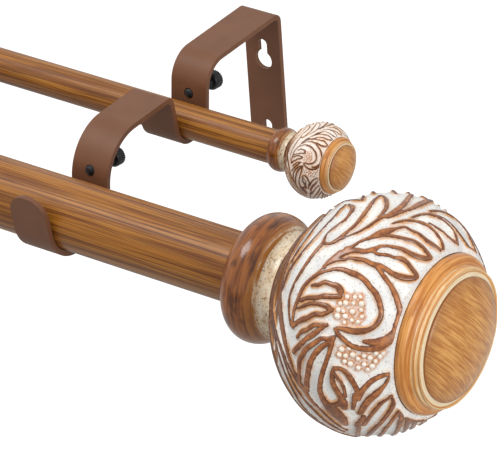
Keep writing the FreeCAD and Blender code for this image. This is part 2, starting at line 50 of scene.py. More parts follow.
# The finials' profiles, in millimetres from the pole's end, as the turner's templates give them.
FRONT_FINIAL = {
    "bead_land": 20.2, "bead_radius": 29.2, "bead_half": 9.5, "bead_fall": 4.5,
    "neck_radius": 22, "neck_length": 7.6, "cove_depth": 1.6, "collar_bore": 16.1,
    "socket": 4, "ball_radius": 53.4, "crown": 36.5, "face_flatter": 3.7,
    "seat_radius": 38.6, "bore": 4.1, "pocket": 35.45, "let_in": 1.6, "tenon": 12.05,
    "tenon_length": 14.1,
    "rim_radius": 35.4, "rim_round": 1.9, "rim_thick": 6.4, "rim_to_step": 4.8,
    "step_rise": 4.6, "step_to_dome": 3.2, "dome_side": 1, "dome_rise": 7.2,
    "relief": 1.0,
}
REAR_FINIAL = {
    "bead_land": 8.7, "bead_radius": 10.3, "bead_half": 3.4, "bead_fall": 1.1,
    "neck_radius": 8.4, "neck_length": 3, "cove_depth": 0.5, "collar_bore": 8.1,
    "socket": 2, "ball_radius": 17.9, "crown": 12.2, "face_flatter": 1.3,
    "seat_radius": 13.9, "bore": 2.55, "pocket": 13.25, "let_in": 0.5, "tenon": 4.55,
    "tenon_length": 5.1,
    "rim_radius": 13.2, "rim_round": 0.9, "rim_thick": 2.3, "rim_to_step": 1.6,
    "step_rise": 1.6, "step_to_dome": 1.2, "dome_side": 0.6, "dome_rise": 3.2,
    "relief": 0.34,
}
# finial: (its sizes, the body it rides on, whether it is turned end for end)
FINIALS = {
    "right_front": (FRONT_FINIAL, "brackets_and_outer_poles", False),
    "right_rear": (REAR_FINIAL, "brackets_and_outer_poles", False),
    "left_front": (FRONT_FINIAL, "front_inner_pole", True),
    "left_rear": (REAR_FINIAL, "rear_inner_pole", True),
}

# The carver's raised lines, as (turn round the ball in degrees, millimetres along its
# profile from the neck, width in millimetres). These are cut on both halves of the ball.
CUT_TWICE = {
    "limb_outer": [
        (16, 0, 1.3), (11, 23.6, 1.3), (3, 31.8, 1.3), (-6, 36.9, 1.3), (-16, 41.3, 1.3),
        (-26, 44.2, 1.3), (-35, 48.5, 1.3), (-43, 52.7, 1.3), (-52, 56.6, 1.3), (-55, 60.4, 1.1)],
    "neck_stem_1": [
        (88, 9, 0.8), (74, 8, 1), (60, 7, 1.2), (46, 7, 1.2), (34, 9, 1.2), (25, 13, 1.2),
        (18, 19, 1.1), (12, 26, 1), (7, 31, 0.8)],
    "neck_stem_2": [
        (84, 14, 0.8), (72, 13, 1), (58, 12, 1.2), (45, 12, 1.3), (34, 13, 1.3), (25, 17, 1.2),
        (18, 23, 1.1), (11, 30, 1), (4, 36, 0.9), (-3, 40, 1), (-11, 43.8, 1.2),
        (-17.2, 47.6, 1.4), (-24.2, 52.1, 1.5), (-32.5, 55.6, 1.5), (-39.2, 58.9, 1.3),
        (-42, 60.5, 1)],
    "side_stem_1": [
        (10, 3, 1), (4, 15, 1.2), (-4, 24, 1.3), (-13, 30, 1.3), (-23, 35, 1.3), (-33, 39, 1.3),
        (-43, 44, 1.2), (-52, 49, 1.1), (-60, 54, 0.9)],
    "side_stem_2": [
        (0, 2, 1), (-6, 12, 1.2), (-14, 20, 1.3), (-23, 27, 1.4), (-33, 32, 1.4), (-43, 37, 1.3),
        (-53, 42, 1.2), (-62, 47, 1.1), (-70, 53, 0.9)],
    "side_stem_3": [
        (-12, 2, 1), (-18, 10, 1.2), (-26, 17, 1.4), (-36, 23, 1.4), (-46, 28, 1.3),
        (-56, 33, 1.2), (-66, 39, 1.1), (-75, 45, 0.8)],
    "limb_1": [
        (59, 17.6, 1.5), (50, 17.6, 1.5), (39, 17.2, 1.5), (29, 17.9, 1.3), (20, 21.4, 1.3),
        (13, 28.6, 1.2), (6, 36.2, 1.2), (-1, 41.6, 1.2), (-8, 46.5, 1.2), (-14, 51.6, 1.3),
        (-21, 56, 1.3), (-30, 59.7, 1.3), (-39, 63, 1.1)],
    "limb_2": [
        (71, 19.7, 1), (63, 19, 1.8), (54, 21.1, 3.2), (45, 22.4, 4.4), (37, 24.1, 4.6),
        (30, 27.6, 3.8), (24, 31.6, 3.4), (16, 36.5, 3), (9, 40, 2.4), (2, 43.3, 1.7),
        (-4, 46.5, 1.3), (-10, 49.7, 1.8), (-15, 52, 2.3), (-19, 54, 1.7)],
    "leaf_1_left": [
        (90, 39.1, 0.8), (85, 39.1, 0.8), (79, 39.6, 0.8), (72, 38.8, 0.8), (65, 37.2, 0.9),
        (59, 34.9, 1), (52, 32.2, 1.2), (48, 30.3, 1.5), (43, 28.9, 1.5), (36, 29, 1.4)],
    "thin_a": [
        (91, 29.1, 0.6), (80, 31.5, 0.7), (72, 31.1, 0.8), (64, 30.6, 0.8), (57, 29.1, 0.9),
        (51, 27.9, 1)],
    "thin_b": [
        (92, 22.9, 0.6), (82, 22.9, 0.8), (74, 22.6, 0.9), (67, 21.6, 1.1), (59, 21.7, 1.3)],
    "leaf_1_right": [
        (20, 42.2, 1.1), (26, 39.2, 1.1), (31, 37.5, 1.2), (36, 37.3, 1.2), (41, 38.2, 1.3),
        (47, 40, 1.7), (52, 41.3, 1.7), (57, 42.7, 1.7), (62, 44, 1.4), (66, 43.3, 0.9),
        (70, 44.1, 0.9), (74, 46, 1.1), (78, 47.2, 1.3), (83, 46.7, 1.6), (87, 44.9, 1.4),
        (90, 40.9, 0.9)],
    "leaf_2_left": [
        (62, 44.5, 1.2), (62, 47.5, 1.1), (64, 49.9, 1.7), (67, 51.4, 1.7), (71, 52.6, 1.3),
        (76, 53.7, 1.3), (82, 53.4, 1.7), (89, 52.4, 1.6), (96, 50.4, 1), (102, 49.5, 0.8)],
    "leaf_2_right": [
        (102, 49.5, 0.8), (102, 51.7, 1), (98, 55.5, 1.3), (93, 58.6, 1.4), (88, 59.7, 1.2),
        (85, 60, 1)],
    "leaf_3_left": [
        (66, 52.1, 0.8), (69, 54.8, 0.8), (73, 57.6, 0.8), (78, 59.5, 1), (84, 60.7, 1.2),
        (88, 62.3, 1.7), (92, 62.9, 2.1), (99, 62.6, 2.1), (106, 60.9, 1.8), (118, 56.5, 1.4)],
    "stem_lower": [
        (20, 43.2, 1.2), (27, 42.8, 1.7), (32, 43.2, 1.7), (38, 44.1, 1.7), (41, 45.2, 1.5),
        (44, 47.1, 1.3), (47, 49.2, 1.1), (50, 51.1, 1.2), (53, 51.8, 1.4), (56, 53.4, 1.6),
        (59, 55.1, 2.1)],
    "stem_tail": [
        (62, 56.5, 1.4), (64, 58.5, 1.1), (68, 60.6, 1.1), (71, 62.8, 1.4), (74, 64.5, 2.2),
        (78, 66.4, 2.6), (81, 68, 1.9), (84, 69.4, 1.1), (88, 71.6, 0.9), (89, 74.5, 1.1),
        (91, 77.9, 1.3), (92, 81.9, 1.6), (94, 85.5, 1.8), (96, 88.2, 1.2)],
    "trunk": [
        (55, 53.3, 2.1), (58, 55.2, 2.7), (61, 57.9, 2.5), (63, 61.3, 1.9), (64, 64.5, 1.8),
        (67, 67.3, 1.9), (70, 69.1, 1.3), (72, 71.1, 1.1), (74, 74.1, 1.3), (76, 77.5, 1.4),
        (77, 80.9, 1.7), (79, 84.3, 1.8), (82, 87, 1.7), (85, 88.4, 1.2)],
    "leaf_7_upper": [
        (74, 65.5, 1.2), (77, 68.1, 1.2), (79, 70.8, 1.2), (81, 73.8, 1.3), (83, 76.5, 1.4),
        (85, 79.1, 1.3), (86, 82.2, 1.4), (86, 85.2, 1.5), (86, 88.1, 1.2)],
    "leaf_8_upper": [
        (66, 67.1, 1.4), (66, 70.2, 1.2), (68, 73.5, 1.2), (69, 76.6, 1.2), (71, 79.5, 1.6),
        (71, 82.4, 1.5), (70, 85.4, 1.4), (69, 87.9, 1.5), (68, 89.3, 1.2)],
    "leaf_8_lower": [
        (58, 59.5, 0.9), (59, 63, 1.3), (60, 66.3, 1.6), (60, 69.8, 1.8), (61, 73.3, 1.9),
        (61, 77, 1.7), (61, 80.3, 1.8), (62, 83.4, 2.1), (64, 86.5, 1.8), (68, 89.3, 1.4)],
    "above_crescent": [
        (51, 50.8, 1), (53, 52.8, 1.2), (55, 55.2, 1.1), (57, 59.1, 0.9)],
    "crescent_outer": [
        (60, 72.2, 1.6), (58, 75.3, 1.6), (56, 78.6, 1.7), (54, 81.7, 1.8), (51, 84.6, 2),
        (47, 87.2, 2.1), (43, 89.2, 2.1), (37, 89.3, 2.1), (32, 89.3, 2.1), (26, 89.1, 2.2),
        (22, 86.5, 2.5), (19, 83.2, 2.3), (18, 79.4, 1.9), (18, 75.6, 1.8), (19, 72.2, 1.7),
        (21, 69.2, 1.6), (23, 66.5, 1.6), (25, 64.8, 1.2)],
    "crescent_inner": [
        (44, 47.5, 0.8), (47, 50, 1.2), (49, 53.1, 1.1), (51, 56.3, 1.3), (52, 59.7, 1.6),
        (52, 63.1, 1.9), (52, 66.9, 1.9), (51, 70.5, 1.9), (49, 73.9, 1.8), (47, 77.1, 1.9),
        (43, 79.9, 1.9), (39, 81.6, 1.7), (36, 81.9, 1.6), (32, 81, 1.6), (29, 79, 1.6),
        (27, 76, 1.9), (26, 72.4, 2.1), (26, 69.1, 1.9), (26, 65.6, 1.2)],
    "crescent_fill": [
        (30, 89.2, 1.6), (26, 86.8, 2.1), (23, 83.8, 2.5), (22, 80.5, 2.1), (22, 77.6, 1.2)],
    "lobe_a_up": [
        (41, 48.6, 0.8), (42, 51.8, 1.2), (44, 54.3, 1.5), (44, 57.6, 1.6), (44, 60.6, 2.1),
        (42, 62.9, 2.1), (40, 63, 1.6)],
    "lobe_a_low": [
        (33, 45.4, 1.4), (35, 48.7, 1.3), (36, 52.4, 1.5), (38, 56.4, 1.6), (39, 60.3, 1.6),
        (40, 62.9, 1.6)],
    "lobe_b_up": [
        (29, 44.8, 0.8), (31, 47.7, 1.2), (33, 51.1, 1.2), (34, 54.9, 1.3), (34, 58.3, 1.6),
        (33, 61.3, 1.6)],
    "lobe_b_low": [
        (20, 43.7, 1.7), (24, 47.4, 1.7), (26, 50.7, 1.6), (29, 54.3, 1.6), (30, 57.8, 1.5),
        (33, 61.4, 1.3)],
    "lobe_c_up": [
        (16, 47.1, 1.2), (19, 49, 1.5), (21, 51.8, 1.5), (24, 54.9, 1.6), (25, 58, 1.5),
        (26, 60.9, 1.1)],
    "lobe_c_low": [
        (8, 45.6, 1.7), (13, 49.2, 1.7), (17, 52.5, 1.9), (20, 55.5, 2.1), (23, 58, 1.6),
        (26, 60.7, 1.1)],
    "lobe_d_up": [
        (-6, 48.4, 1.7), (0, 48.8, 1.7), (5, 49.2, 1.7), (9, 51.1, 1.9), (13, 53.5, 1.9),
        (16, 56.4, 1.9), (19, 59.4, 1.6), (20, 62.5, 1.5), (21, 64.8, 1.4)],
    "lobe_d_mid": [
        (-10, 51.7, 2.5), (-2, 53.2, 2.1), (5, 54.8, 2.1), (10, 56.6, 2.1), (14, 59, 2.1),
        (17, 61.6, 1.8), (19, 63.8, 1.6)],
    "lobe_d_right": [
        (21, 64.7, 1.6), (16, 64, 1.6), (12, 63.4, 1.6), (8, 62.3, 1.6), (3, 61, 1.7),
        (-2, 59.8, 1.8), (-8, 58.9, 2.1), (-13, 59.3, 2.5)],
    "lobe_e_right": [
        (6, 65.8, 1), (2, 65, 1.3), (-3, 65.5, 2.1), (-7, 66.9, 2.2), (-11, 68.1, 2.2),
        (-15, 67, 1.7)],
    "lobe_f_up": [
        (6, 66.1, 1.5), (6, 69.2, 1.6), (4, 71.7, 1.9), (0, 73.5, 2), (-4, 74.8, 1.9),
        (-8, 75.6, 1.7)],
    "lobe_f_in": [
        (4, 65.8, 1), (1, 67.5, 1.2), (-2, 69.2, 1.2), (-6, 70, 1.2), (-10, 69.9, 1.2)],
    "pocket": [
        (-14, 59.5, 2.5), (-18, 61.6, 4.6), (-22, 63.3, 5.4), (-27, 64.8, 4.2), (-32, 64.8, 2.1)],
    "pocket_top": [
        (-16, 63.3, 1.7), (-15, 66.6, 2.5), (-13, 68.7, 2.5), (-18, 68.3, 2.1)],
    "stem_right": [
        (-9, 74.3, 2.1), (-14, 73.2, 1.7), (-19, 71.9, 1.1)],
    "fan_1": [
        (-12, 75.2, 2.1), (-8, 76.9, 2.1), (-4, 79.3, 2.2), (-1, 82, 2.1), (1, 85, 1.9),
        (2, 87.9, 1.7), (2, 89.3, 1.5)],
    "fan_2": [
        (-23, 74.1, 2.1), (-18, 76.7, 2.5), (-14, 79.5, 2.9), (-11, 82.5, 2.9), (-8, 85.1, 2.1),
        (-4, 87.7, 1.4), (0, 89.3, 1.2)],
    "fan_3a": [
        (-34, 69.7, 2.1), (-29, 73.1, 2.1), (-26, 74.9, 1.7)],
    "fan_3": [
        (-34, 72.7, 1.7), (-28, 76.8, 1.6), (-23, 80.6, 1.6), (-19, 83.8, 1.5), (-17, 86.8, 1.3),
        (-15, 89.3, 1.2), (-16, 89.3, 1)],
}
# These are cut on one half only, where they meet nothing of the other.
CUT_ONCE = {
    "leaf_3_right": [
        (87, 63.2, 1), (92, 64.6, 1), (98, 65.6, 1.2), (104, 66, 1.7), (112, 65.1, 2.1),
        (120, 63.4, 2.1), (131, 60.2, 1.3)],
    "top_hump": [
        (96, 28.3, 0.7), (100, 29.6, 0.7), (97, 36, 0.7), (95, 42.1, 0.7), (95, 45, 1),
        (101, 41.7, 0.8)],
    "leaf_4_upper": [
        (85, 66.5, 0.6), (89, 68.2, 1), (93, 70.1, 1.1), (96, 72.3, 1.3), (99, 74.9, 1.7),
        (101, 77.4, 1.7), (102, 80.3, 1.3), (102, 83.9, 1.3), (101, 86.8, 1.3), (99, 88.7, 1)],
    "leaf_5_lower": [
        (103, 76.1, 0.8), (105, 78.5, 1), (108, 81.6, 1.2), (110, 84.7, 1.3), (113, 87.1, 1.5),
        (116, 88.5, 1.3)],
    "leaf_5_upper": [
        (96, 69.9, 0.6), (102, 70.6, 1), (108, 71.8, 1.3), (112, 73.4, 1.3), (115, 75.9, 1.1),
        (118, 79, 1.1), (119, 82.2, 1.1), (119, 84.9, 1.3), (116, 88.3, 1.2)],
    "leaf_6_lower": [
        (112, 72.8, 0.6), (116, 74.5, 0.8), (120, 77, 0.8), (123, 80.3, 0.9), (125, 83.8, 1),
        (128, 87.4, 1), (131, 89.3, 0.9), (140, 89.3, 0.8)],
    "leaf_6_upper": [
        (112, 70.6, 0.8), (119, 70.8, 1.1), (126, 71.4, 1.3), (133, 72.6, 1.3), (138, 74.7, 1.3),
        (141, 78.4, 1.3), (141, 83.2, 1.3), (141, 88.1, 1.1), (142, 89.3, 0.8)],
    "fan_4": [
        (-50, 68, 1.9), (-42, 74.4, 2), (-37, 79.2, 2), (-32, 83.3, 2), (-27, 86.8, 1.8),
        (-21, 89.3, 1.6), (-18, 89.3, 1.1)],
    "fan_5": [
        (-55, 71.9, 1.9), (-45, 79.3, 1.9), (-39, 84.1, 1.9), (-34, 88.2, 1.6), (-32, 89.3, 1.2)],
    "fan_6": [
        (-67, 72.6, 2.1), (-54, 81.5, 2.1), (-44, 86.6, 2), (-36, 89.3, 1.6), (-34, 89.3, 1.1)],
    "fan_7": [
        (-71, 75.8, 1.9), (-60, 83, 1.9), (-47, 89.3, 1.8), (-44, 89.3, 1.3)],
    "fan_8": [
        (-74, 78.8, 2), (-60, 87.6, 2.1), (-50, 89.3, 1.7), (-46, 89.3, 1.1)],
    "fan_9": [
        (-77, 82, 1.7), (-79, 83.8, 1.9), (-66, 89.3, 1.7), (-59, 89.3, 1.3)],
    "fan_10": [
        (-73, 89.3, 1.4), (-80, 89.3, 1.4), (-75, 89.3, 1.3)],
    "foot_low": [
        (-50, 63.4, 1.7), (-39, 68.5, 1.5), (-31, 70.9, 1.8)],
}
# Middles of the small pearls in the scroll and under it: (turn, millimetres from the neck).
PEARLS = [
    (38, 66.1), (39, 69.3), (40, 72.6), (34, 66.1), (35, 69.9), (34, 74.4), (31, 70.7), (34, 63.8),
    (31, 64.2), (32, 67.5), (41, 65.8), (42, 69), (37, 63.9), (43, 71.2), (31, 73.4), (29, 67.8),
    (37, 73.3), (13, 70.6), (14, 73.5), (12, 75.9), (14, 78.4), (9, 78.7), (13, 81), (11, 83.4),
    (14, 85.1), (7, 76.3), (9, 72.9), (16, 68.7), (17, 71.7), (10, 70.4), (16, 83.2), (6, 80.2),
    (8, 82.2), (16, 86.4), (13, 67.9),
]


# ---- node trees

def srgb(red, green, blue):
    """A colour given as 0 to 255, as the shader wants it."""
    def linear(value):
        value /= 255
        return value / 12.92 if value <= 0.04045 else ((value + 0.055) / 1.055) ** 2.4
    return (linear(red), linear(green), linear(blue), 1)


def put(tree, value, socket):
    """Gives an input a plain value, or joins another node's output to it."""
    if isinstance(value, bpy.types.NodeSocket):
        tree.links.new(value, socket)
    else:
        socket.default_value = value


def add(tree, kind, inputs=(), **settings):
    """A new node with its settings and its inputs."""
    node = tree.nodes.new(kind)
    for name, value in settings.items():
        setattr(node, name, value)
    for name, value in dict(inputs).items():
        put(tree, value, node.inputs[name])
    return node


def result(tree, kind, inputs, **settings):
    """The first output of a new node."""
    return add(tree, kind, inputs, **settings).outputs[0]


def maths(tree, operation, first, second=0.0, third=0.0):
    return result(tree, "ShaderNodeMath", {0: first, 1: second, 2: third}, operation=operation)


def times(tree, first, second):
    return maths(tree, "MULTIPLY", first, second)


def vector_maths(tree, operation, first, second):
    return result(tree, "ShaderNodeVectorMath", {0: first, 1: second}, operation=operation)


def fade(tree, value, start, end, low=0.0, high=1.0):
    """Goes smoothly from low to high as value goes from start to end."""
    return result(tree, "ShaderNodeMapRange",
                  {"Value": value, "From Min": start, "From Max": end,
                   "To Min": low, "To Max": high}, interpolation_type="SMOOTHSTEP")


def noise(tree, vector, scale, detail=2.0, roughness=0.5):
    return result(tree, "ShaderNodeTexNoise",
                  {"Vector": vector, "Scale": scale, "Detail": detail, "Roughness": roughness})


def stretch(tree, vector, scale, turn=(0, 0, 0), shift=(0, 0, 0)):
    """The vector turned and scaled, so that a pattern on it runs along the stretched axis."""
    return result(tree, "ShaderNodeMapping",
                  {"Vector": vector, "Scale": scale, "Rotation": turn, "Location": shift})


def blend(tree, share, *colours):
    """From the first colour to the second. Each is a node's output, or red, green and blue."""
    first, second = (srgb(*colour) if isinstance(colour, tuple) else colour
                     for colour in colours)
    return add(tree, "ShaderNodeMix", {0: share, 6: first, 7: second},
               data_type="RGBA").outputs[2]


def lay(tree, under, effect, strength, over):
    """A colour laid over another where the effect shows, as strongly as given."""
    return blend(tree, times(tree, effect, strength), under, over)


def new_tree(kind, name, inputs, outputs):
    """A node tree with named inputs and outputs, and the sockets of its two end nodes."""
    tree = bpy.data.node_groups.new(name, kind)
    for way, sockets in (("INPUT", inputs), ("OUTPUT", outputs)):
        for label, socket in sockets.items():
            tree.interface.new_socket(label, in_out=way, socket_type="NodeSocket" + socket)
    return (tree, tree.nodes.new("NodeGroupInput").outputs,
            tree.nodes.new("NodeGroupOutput").inputs)


def effect_tree(name, inputs, outputs):
    """A shared effect: its inputs with their kinds, and its outputs, which are all values."""
    return new_tree("ShaderNodeTree", name, inputs, dict.fromkeys(outputs, "Float"))


def use(tree, shared, inputs):
    """The outputs of a shared effect."""
    return add(tree, "ShaderNodeGroup", inputs, node_tree=shared).outputs


def object_place(tree):
    return add(tree, "ShaderNodeTexCoord").outputs["Object"]


def carried(tree, name, output="Fac"):
    """A value that the mesh carries at each of its points."""
    return add(tree, "ShaderNodeAttribute", attribute_name=name).outputs[output]


def lathe_values(tree):
    """What a turned mesh carries: station along the profile with the turn round it, and the
    station alone."""
    lathe = carried(tree, "lathe", "Vector")
    return lathe, result(tree, "ShaderNodeSeparateXYZ", {0: lathe})


def material(name):
    """A new material: itself, its tree and its shader."""
    made = bpy.data.materials.new(name)
    made.use_nodes = True
    return made, made.node_tree, made.node_tree.nodes["Principled BSDF"]


def finish_shader(tree, shader, colour, roughness, height, depth, **constants):
    """Joins colour, roughness and bump to the shader. The rest are plain values on it."""
    bump = result(tree, "ShaderNodeBump", {"Height": height, "Distance": depth, "Strength": 1.0})
    for label, value in (("Base Color", colour), ("Roughness", roughness), ("Normal", bump)):
        put(tree, value, shader.inputs[label])
    for label, value in constants.items():
        shader.inputs[label.replace("_", " ")].default_value = value


# ---- effects that are shared

def grain_effect():
    """Wood grain along the vector's X: broad streaks, dark and pale hair lines, and pores."""
    tree, given, out = effect_tree(
        "wood_grain",
        {"Vector": "Vector", "Length": "Float", "Width": "Float", "Wander": "Float"},
        ("Streaks", "Hair Lines", "Pale Lines", "Pores", "Height"))
    drift = add(tree, "ShaderNodeTexNoise",
                {"Vector": stretch(tree, given["Vector"], (9, 60, 60)), "Scale": 1.0,
                 "Detail": 1.0}).outputs["Color"]
    centred = vector_maths(tree, "SUBTRACT", drift, (0.5, 0.5, 0.5))
    sway = result(tree, "ShaderNodeVectorMath", {0: centred, "Scale": given["Wander"]},
                  operation="SCALE")
    waved = vector_maths(tree, "ADD", given["Vector"], sway)
    along, across = (maths(tree, "DIVIDE", 1.0, given[size]) for size in ("Length", "Width"))
    rate = result(tree, "ShaderNodeCombineXYZ", {"X": along, "Y": across, "Z": across})
    cells = vector_maths(tree, "MULTIPLY", waved, rate)
    broad = noise(tree, cells, 1.0, 3.0, 0.55)
    hair = noise(tree, stretch(tree, cells, (0.7, 2.4, 2.4), shift=(3, 5, 9)), 1.0, 2.0, 0.6)
    pore = noise(tree, stretch(tree, cells, (4.5, 7, 7), shift=(7, 1, 4)), 1.0, 1.0, 0.5)
    hair_lines = fade(tree, hair, 0.53, 0.62)
    pores = fade(tree, pore, 0.6, 0.72)
    sunk = maths(tree, "MULTIPLY_ADD", hair_lines, -0.6, 1.0)
    put(tree, fade(tree, broad, 0.38, 0.62), out["Streaks"])
    put(tree, hair_lines, out["Hair Lines"])
    put(tree, fade(tree, hair, 0.46, 0.38), out["Pale Lines"])
    put(tree, pores, out["Pores"])
    put(tree, maths(tree, "MULTIPLY_ADD", pores, -0.4, sunk), out["Height"])
    return tree


def glaze_effect():
    """Glaze brushed round a turned piece: long soft streaks round it, and blots."""
    tree, given, out = effect_tree(
        "brushed_glaze", {"Lathe": "Vector", "Streaks": "Float", "Shift": "Vector"},
        ("Brush", "Fine Brush", "Blots"))
    parts = add(tree, "ShaderNodeSeparateXYZ", {0: given["Lathe"]}).outputs
    swept = result(tree, "ShaderNodeCombineXYZ",
                   {"X": times(tree, parts["X"], given["Streaks"]), "Y": parts["Y"],
                    "Z": parts["Z"]})
    moved = vector_maths(tree, "ADD", swept, given["Shift"])
    fine = stretch(tree, moved, (3.1, 2.2, 2.2), shift=(4, 2, 8))
    blot = stretch(tree, moved, (0.5, 3.4, 3.4), shift=(9, 3, 1))
    put(tree, fade(tree, noise(tree, moved, 1.1, 3.0, 0.6), 0.38, 0.62), out["Brush"])
    put(tree, fade(tree, noise(tree, fine, 1.3, 3.0, 0.65), 0.35, 0.65), out["Fine Brush"])
    put(tree, fade(tree, noise(tree, blot, 1.0, 2.0, 0.5), 0.5, 0.72), out["Blots"])
    return tree


def fleck_effect():
    """Small flecks and a fine unevenness, for paint and wash. Size is the flecks' in metres,
    and a greater Share leaves fewer of them."""
    tree, given, out = effect_tree(
        "flecks", {"Vector": "Vector", "Size": "Float", "Share": "Float"},
        ("Flecks", "Cloud", "Grit"))
    rate = maths(tree, "DIVIDE", 1.0, given["Size"])
    speck = noise(tree, given["Vector"], rate, 1.0, 0.5)
    cloud = noise(tree, given["Vector"], times(tree, rate, 0.06), 3.0, 0.55)
    edge = maths(tree, "ADD", given["Share"], 0.05)
    put(tree, fade(tree, speck, given["Share"], edge), out["Flecks"])
    put(tree, fade(tree, cloud, 0.3, 0.7), out["Cloud"])
    put(tree, noise(tree, given["Vector"], times(tree, rate, 0.8), 3.0, 0.7), out["Grit"])
    return tree


WOOD_GRAIN, BRUSHED_GLAZE, FLECKS = grain_effect(), glaze_effect(), fleck_effect()


# ---- finishes

def flecked_coat(name, tones, fleck, rough, depth, **constants):
    """A plain coat, cloudy between two tones. Its flecks are given as (tone, strength, size,
    share), and its roughness as the least there is and what the grit adds."""
    made, tree, shader = material(name)
    tone, strength, size, share = fleck
    flecks = use(tree, FLECKS, {"Vector": object_place(tree), "Size": size, "Share": share})
    colour = blend(tree, flecks["Cloud"], *tones)
    colour = lay(tree, colour, flecks["Flecks"], strength, tone)
    gritty = maths(tree, "MULTIPLY_ADD", flecks["Grit"], rough[1], rough[0])
    finish_shader(tree, shader, colour, gritty, flecks["Grit"], depth, **constants)
    return made


def hidden_steel(name, low, high):
    """Zinc-plated steel of the hidden inserts and studs, which has no flecks."""
    return flecked_coat(name, (low, high), (high, 0, 0.9 * MM, 0.66), (0.25, 0.25), 0.03 * MM,
                        Metallic=0.9)


def grained_tube(name, pale, middle, dark, roughness):
    """The pole's tube: a printed oak grain under satin lacquer."""
    made, tree, shader = material(name)
    grain = use(tree, WOOD_GRAIN, {"Vector": object_place(tree), "Length": 75 * MM,
                                   "Width": 1.5 * MM, "Wander": 2 * MM})
    colour = blend(tree, grain["Streaks"], middle, pale)
    colour = lay(tree, colour, grain["Pale Lines"], 0.3, (206, 154, 78))
    colour = lay(tree, colour, grain["Hair Lines"], 0.5, dark)
    colour = lay(tree, colour, grain["Pores"], 0.3, dark)
    rough = maths(tree, "MULTIPLY_ADD", grain["Hair Lines"], 0.1, roughness)
    finish_shader(tree, shader, colour, rough, grain["Height"], 0.03 * MM,
                  Coat_Weight=0.08, Coat_Roughness=0.32, Specular_IOR_Level=0.32)
    return made


def dark_turning():
    """The collar: red-brown glaze on the bead, and a pale streaked cove between amber bands."""
    made, tree, shader = material("dark_turning")
    lathe, station = lathe_values(tree)
    glaze = use(tree, BRUSHED_GLAZE, {"Lathe": lathe, "Streaks": 9.0, "Shift": (2, 0, 0)})
    fleck = use(tree, FLECKS, {"Vector": object_place(tree), "Size": 1.1 * MM, "Share": 0.6})
    bead = blend(tree, glaze["Brush"], (98, 46, 16), (158, 92, 38))
    bead = lay(tree, bead, glaze["Fine Brush"], 0.45, (186, 112, 42))
    bead = lay(tree, bead, glaze["Blots"], 0.7, (58, 26, 12))
    cove = blend(tree, glaze["Fine Brush"], (238, 208, 162), (255, 246, 226))
    cove = lay(tree, cove, glaze["Blots"], 0.5, (190, 138, 76))
    cove = lay(tree, cove, fleck["Flecks"], 0.6, (136, 84, 40))
    amber, neck = (176, 112, 44), (92, 48, 20)
    # the bead ends at station 1 and the neck is at station 2
    wavy = maths(tree, "MULTIPLY_ADD", glaze["Brush"], 0.16, station)
    colour = bead
    for start, end, tone in ((0.84, 1.0, amber), (1.02, 1.2, cove), (1.84, 1.96, amber),
                             (1.92, 2.0, neck)):
        colour = blend(tree, fade(tree, wavy, start, end), colour, tone)
    finish_shader(tree, shader, colour, fade(tree, station, 0.9, 1.3, 0.24, 0.42),
                  glaze["Fine Brush"], 0.05 * MM, Coat_Weight=0.7, Coat_Roughness=0.18,
                  Specular_IOR_Level=0.1)
    return made


DOME_SLANT = math.radians(52)          # of the dome's brush strokes, in the YZ plane


def honey_turning(name, fineness):
    """The button: honey-coloured rim, washed rings, and a streaky amber dome, darkened all round
    towards its foot as painted shade.
    """
    made, tree, shader = material(name)
    lathe, station = lathe_values(tree)
    glaze = use(tree, BRUSHED_GLAZE, {"Lathe": lathe, "Streaks": 7.0, "Shift": (5, 1, 0)})
    rim = blend(tree, glaze["Brush"], (196, 122, 50), (230, 164, 88))
    rim = lay(tree, rim, glaze["Blots"], 0.5, (164, 90, 34))
    ring = blend(tree, glaze["Fine Brush"], (226, 172, 102), (250, 224, 176))
    groove = blend(tree, glaze["Fine Brush"], (242, 214, 166), (255, 242, 212))
    brushed = stretch(tree, object_place(tree), (0.1, 1, 1), (DOME_SLANT, 0, -math.pi / 2))
    grain = use(tree, WOOD_GRAIN, {"Vector": brushed, "Length": 16 * MM / fineness,
                                   "Width": MM / fineness, "Wander": 3 * MM / fineness})
    dome = blend(tree, grain["Streaks"], (188, 120, 52), (222, 160, 86))
    dome = lay(tree, dome, grain["Pale Lines"], 0.35, (244, 196, 122))
    dome = lay(tree, dome, grain["Hair Lines"], 0.5, (146, 82, 28))
    # the rim ends at station 1, the band of rings at 2, its groove at 3, and then the dome
    wavy = maths(tree, "MULTIPLY_ADD", glaze["Fine Brush"], 0.06, station)
    turned_lines = maths(tree, "SINE", times(tree, wavy, 5 * math.pi))
    rings = blend(tree, fade(tree, turned_lines, -0.5, 0.6), rim, ring)
    colour = blend(tree, fade(tree, wavy, 1.0, 1.12), rim, rings)
    colour = blend(tree, fade(tree, wavy, 2.42, 2.5), colour, groove)
    # painted shade: the dome turns darker towards its foot, all the way round
    dome_painted_shade_at_foot = blend(tree, fade(tree, station, 3.0, 3.45), (150, 92, 44), dome)
    colour = blend(tree, fade(tree, station, 2.97, 3.0), colour, dome_painted_shade_at_foot)
    finish_shader(tree, shader, colour, fade(tree, station, 0.8, 3.2, 0.3, 0.36),
                  maths(tree, "ADD", glaze["Fine Brush"], grain["Height"]), 0.03 * MM,
                  Coat_Weight=0.25, Coat_Roughness=0.22, Specular_IOR_Level=0.35)
    return made


# of a ball's wash and glaze: the ground, its hollows, and the lines' crests, dark and rubbed
FRONT_WASH = {"ground": (254, 252, 246), "hollow": (230, 230, 228),
              "crest": (134, 72, 28), "rubbed": (192, 120, 62)}
REAR_WASH = {"ground": (254, 243, 232), "hollow": (238, 219, 204),
             "crest": (84, 46, 24), "rubbed": (134, 84, 52)}


